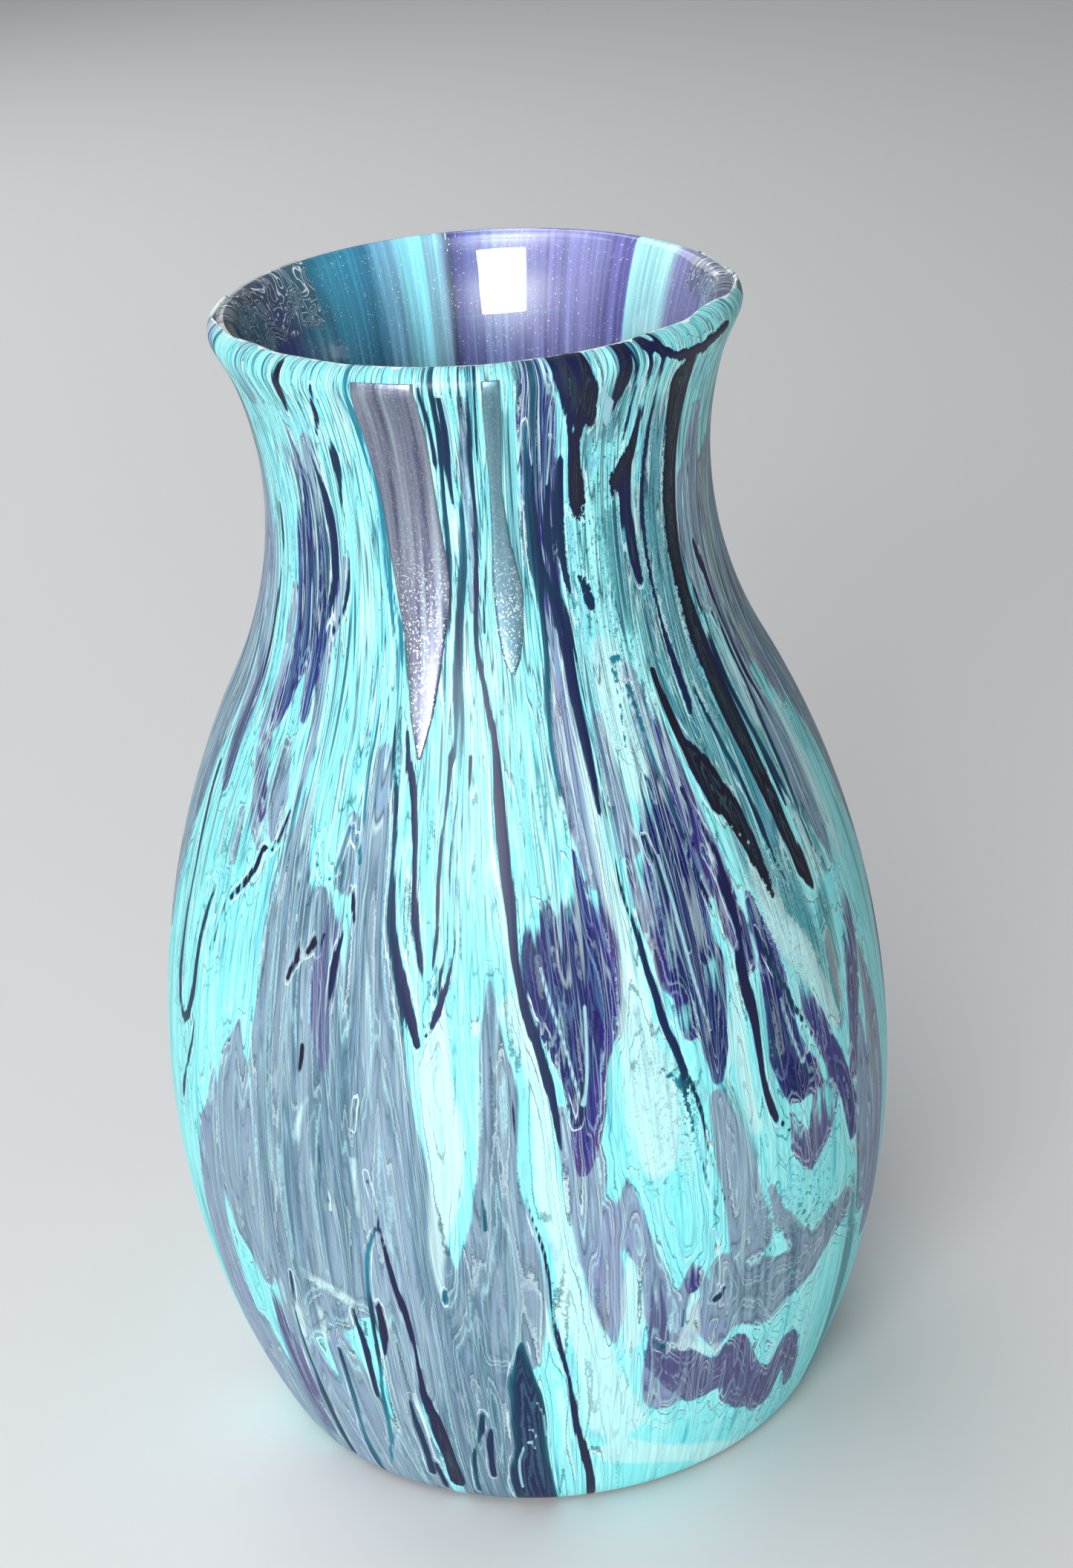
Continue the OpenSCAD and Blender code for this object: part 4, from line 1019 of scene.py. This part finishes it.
class VASE_OT_skin(bpy.types.Operator):
    """Pours the marbled skin and lays out its runs"""
    bl_idname = "vase.skin"
    bl_label = "Marbled Skin"

    def execute(self, context):
        s, c = settings()
        o = Outline(s)
        loop = o.film(s.ground_t - TUCK, s.ground_t + s.skin_t, s.wrap_a, SKIN_STEP, HIDDEN_STEP)
        front = radians(SKIN_FRONT)
        turns = np.concatenate((np.linspace(-front, front, FRONT_POINTS),
                                np.linspace(front, 2 * pi - front, BACK_POINTS)[1:]))
        piece = wrapped("Marbled_skin", loop, turns)
        mesh = piece.data
        co = points_of(mesh)
        u, z, r = bearings(co)
        rim = self.ragged_lip(mesh, co, u, r, o, s)
        per_degree = r * pi / 180
        side = ripples(u, z, 11, 7, (3, 16), (25, 90), 0.5)
        fall = ripples(u, z, 12, 7, (3, 14), (30, 90), 1.0)
        u, z = u + side / per_degree, z + fall
        groups = {
            "slate": SLATE + back_runs(21, 48, (0, 1), (3, 11), (50, 150)),
            "dusk": DUSK + back_runs(22, 24, (0, 1), (1.5, 5), (25, 80)),
            "ink": INK + back_runs(23, 44, (0, 1), (0.4, 1.6), (40, 160)),
            "ice": ICE + back_runs(24, 24, (0, 0), (1, 5), (30, 90)),
            "teal": TEAL + back_runs(25, 8, (0, 0), (2, 4), (30, 80)),
            "lace": LACE + back_runs(26, 8, (0, 0), (2, 6), (15, 50)),
            "over": OVER,
        }
        found = {name: joined(runs, u, z, per_degree) for name, runs in groups.items()}
        triples = {"bodies": [found[k][0] for k in ("slate", "dusk", "ink")],
                   "tints": [found[k][1] for k in ("slate", "dusk", "ink")],
                   "lights": [found[k][0] for k in ("ice", "teal", "lace")]}
        for name, parts in triples.items():
            layer = mesh.attributes.new(name, "FLOAT_VECTOR", "POINT")
            layer.data.foreach_set("vector", np.stack(parts, 1).astype(np.float32).ravel())
        singles = {"fade": found["dusk"][2] / FADE, "over": found["over"][0], "rim": rim}
        for name, values in singles.items():
            layer = mesh.attributes.new(name, "FLOAT", "POINT")
            layer.data.foreach_set("value", values.astype(np.float32))
        finish_piece(piece, marbled_skin(c), "marbled_paint", "poured_skin", "clear_coat")
        return {"FINISHED"}

    def ragged_lip(self, mesh, co, u, r, o, s):
        """Lets the skin's edge wander along the lip, and gives each point's distance in mm to it."""
        out = r * MM - o.cap_c[0]
        up = co[:, 2] - o.cap_c[1]
        a = np.arctan2(up, out)
        reach = np.hypot(out, up)
        near = (a > 0) & (reach < o.cap_r + s.ground_t + s.skin_t + 0.1 * MM)
        level = np.zeros_like(u)
        wander = ripples(u, level, 31, 9, (3, 24), (1, 2), 1.0)
        shorter = 0.84 * ease((np.abs(u) - 50) / 60)  # the paint wraps less far round the back
        grown = a * (1 - shorter + wander * s.wrap_wander / s.wrap_a)
        radius = o.cap_c[0] + reach * np.cos(grown)
        share = np.where(near, radius / (r * MM), 1)
        co[:, :2] *= share[:, None]
        co[:, 2] = np.where(near, o.cap_c[1] + reach * np.sin(grown), co[:, 2])
        put_points(mesh, co)
        return np.where(near, (s.wrap_a - a) * reach / MM, 9)


class VASE_OT_silver(bpy.types.Operator):
    """Lays the two silver runs on the skin"""
    bl_idname = "vase.silver"
    bl_label = "Silver Runs"

    def execute(self, context):
        s, c = settings()
        o = Outline(s)
        t = s.ground_t + s.skin_t
        profile = np.array(o.outside(t, 0, 0.7 * MM) + o.lip(t, pi / 2, 0.2 * MM))
        along = np.gradient(profile, axis=0)
        out = np.stack((along[:, 1], -along[:, 0]), 1)
        out /= np.linalg.norm(out, axis=1)[:, None]
        paint = silver_paint(c)
        for name, path, node in (("Long_silver_run", SILVER_LONG, "silver_run_long"),
                                 ("Short_silver_run", SILVER_SHORT, "silver_run_short")):
            us, zs, ws = (np.array(p)[::-1] for p in zip(*path))
            rows = [i for i in range(len(profile)) if zs[0] * MM <= profile[i][1] <= zs[-1] * MM]
            bm = bmesh.new()
            bmesh.ops.create_grid(bm, x_segments=SILVER_COLUMNS, y_segments=len(rows) - 1, size=1)
            for v in bm.verts:
                i = rows[round((v.co.y + 1) / 2 * (len(rows) - 1))]
                z = profile[i][1] / MM
                per_degree = profile[i][0] / MM * pi / 180
                middle = np.interp(z, zs, us)
                half = np.interp(z, zs, ws)
                half = max(0.15, half + 0.25 * sin(z / 5.1) * min(1, half / 3))
                x = round((v.co.x + 1) / 2 * SILVER_COLUMNS) / SILVER_COLUMNS * 2 - 1
                lift = s.run_h * (1.15 * sqrt(max(0, 1 - x ** 4)) - 0.15)
                r, h = profile[i] + out[i] * lift
                a = radians(middle + x * half / per_degree)
                v.co = (r * sin(a), -r * cos(a), h)
            for f in bm.faces:
                f.smooth = True
            piece = placed(name, bm)
            solid = piece.modifiers.new("Thickness", "SOLIDIFY")
            solid.thickness = SILVER_BACK
            solid.offset = -1
            finish_piece(piece, paint, "silver_paint", node)
        return {"FINISHED"}


class VASE_OT_overrun(bpy.types.Operator):
    """Lets the varnish run over the lip and down inside"""
    bl_idname = "vase.overrun"
    bl_label = "Lip Overrun"

    def execute(self, context):
        s, c = settings()
        o = Outline(s)
        mat = varnish(c)
        inner = o.flare(-s.wall - VARNISH_T, -1, 0.5 * MM)[::-1]
        lip = [turn(o.cap_c, o.cap_r + VARNISH_T, a)
               for a in np.linspace(radians(60), pi - o.lip_a, 12)]
        streaks = [  # name, bearing where it starts and the degrees it spans, mm down, node
            ("Lip_overrun_left", -134, 50, 12, ["lip_overrun"]),
            ("Lip_overrun_right", 78, 32, 6, []),
        ]
        for name, start, span, reach, nodes in streaks:
            line = lip + [p for p in inner[1:] if p[1] > s.height - reach * MM]
            bm = bmesh.new()
            a = radians(start) - pi / 2
            verts = [bm.verts.new((r * cos(a), r * sin(a), z)) for r, z in line]
            edges = [bm.edges.new(p) for p in zip(verts, verts[1:])]
            bmesh.ops.spin(bm, geom=verts + edges, cent=(0, 0, 0), axis=(0, 0, 1),
                           angle=radians(span), steps=span * 2, use_merge=False)
            bmesh.ops.remove_doubles(bm, verts=bm.verts, dist=SAME)
            bmesh.ops.recalc_face_normals(bm, faces=bm.faces)
            for f in bm.faces:
                f.smooth = True
            piece = placed(name, bm)
            co = points_of(piece.data)
            u, z, r = bearings(co)
            turned = (u - start + 180) % 360 - 180
            ends = np.minimum(turned, span - turned) / 6
            low = (co[:, 2] - (s.height - reach * MM)) / (4 * MM)
            layer = piece.data.attributes.new("edge", "FLOAT", "POINT")
            layer.data.foreach_set("value", np.minimum(ends, low).astype(np.float32))
            finish_piece(piece, mat, "clear_varnish", *nodes)
        return {"FINISHED"}


class VASE_OT_stage(bpy.types.Operator):
    """Sets the floor, lights and camera"""
    bl_idname = "vase.stage"
    bl_label = "Stage"

    def execute(self, context):
        s, c = settings()
        bm = bmesh.new()
        bmesh.ops.create_grid(bm, x_segments=1, y_segments=1, size=40)
        floor = placed("Floor", bm)
        mat, t = fresh("Studio floor, matt card")
        add(t, "OutputMaterial", {"Surface": add(t, "BsdfPrincipled", {
            "Base Color": colour(c.floor), "Roughness": 0.7})})
        floor.data.materials.append(mat)

        scene = context.scene
        scene.view_settings.view_transform = "Standard"
        world = bpy.data.worlds.new("Pale room")
        world.use_nodes = True
        scene.world = world
        world.node_tree.nodes["Background"].inputs["Color"].default_value = colour("#F4F8FF")
        world.node_tree.nodes["Background"].inputs["Strength"].default_value = 0.27
        lamps = [  # name, the point it lights, its direction from there, distance, size, power
            ("Window", (0.006, 0.041, 0.228), (-0.265, -0.924, 0.276), 1.2, 0.5, 11.5),
            ("Window_glare", (0.006, 0.041, 0.228), (-0.265, -0.924, 0.276), 1.21, 0.5, 12),
            ("Overhead", (0, 0, 0.1), (-0.45, -0.25, 1.0), 1.4, 1.0, 6),
            ("Back_fill", (0, 0, 0.1), (-0.5, 1.0, 0.75), 1.5, 1.0, 7),
        ]
        for name, at, way, far, size, power in lamps:
            light = bpy.data.lights.new(name, "AREA")
            light.shape = "SQUARE"
            light.size = size
            light.energy = power
            lamp = bpy.data.objects.new(name, light)
            lamp.visible_diffuse = name != "Window_glare"
            way = Vector(way).normalized()
            lamp.matrix_world = (Matrix.Translation(Vector(at) + way * far)
                                 @ way.to_track_quat("Z", "Y").to_matrix().to_4x4())
            scene.collection.objects.link(lamp)

        data = bpy.data.cameras.new("Camera")
        data.lens = 71.5
        camera = bpy.data.objects.new("Camera", data)
        pitch, yaw, roll = 0.4354, 0.0093, -0.0706
        back, rise = 2.4, 1.687  # from the middle of the foot, in heights of the vase
        ahead = Vector((sin(yaw) * cos(pitch), cos(yaw) * cos(pitch), -sin(pitch)))
        right = Vector((cos(yaw), -sin(yaw), 0))
        up = right.cross(ahead)
        x = right * cos(roll) + up * sin(roll)
        y = up * cos(roll) - right * sin(roll)
        turned = Matrix((x, y, -ahead)).transposed().to_4x4()
        camera.matrix_world = Matrix.Translation((0, -back * s.height, rise * s.height)) @ turned
        scene.collection.objects.link(camera)
        scene.camera = camera
        return {"FINISHED"}


class VASE_PT_panel(bpy.types.Panel):
    """The vase's steps in the sidebar"""
    bl_idname = "VASE_PT_panel"
    bl_label = "Vase"
    bl_space_type = "VIEW_3D"
    bl_region_type = "UI"
    bl_category = "Vase"

    def draw(self, context):
        for step in STEPS_IN_ORDER:
            self.layout.operator(step.bl_idname)


STEPS_IN_ORDER = (VASE_OT_glass, VASE_OT_first_coat, VASE_OT_skin, VASE_OT_silver, VASE_OT_overrun,
                  VASE_OT_stage)
CLASSES = (VaseSizes, VaseColours) + STEPS_IN_ORDER + (VASE_PT_panel,)


def register():
    for cls in CLASSES:
        bpy.utils.register_class(cls)
    bpy.types.Scene.vase_sizes = bpy.props.PointerProperty(type=VaseSizes)
    bpy.types.Scene.vase_colours = bpy.props.PointerProperty(type=VaseColours)


def unregister():
    del bpy.types.Scene.vase_colours
    del bpy.types.Scene.vase_sizes
    for cls in reversed(CLASSES):
        bpy.utils.unregister_class(cls)


def main():
    register()
    bpy.ops.vase.glass()
    bpy.ops.vase.first_coat()
    bpy.ops.vase.skin()
    bpy.ops.vase.silver()
    bpy.ops.vase.overrun()
    bpy.ops.vase.stage()


if __name__ == "__main__":
    main()
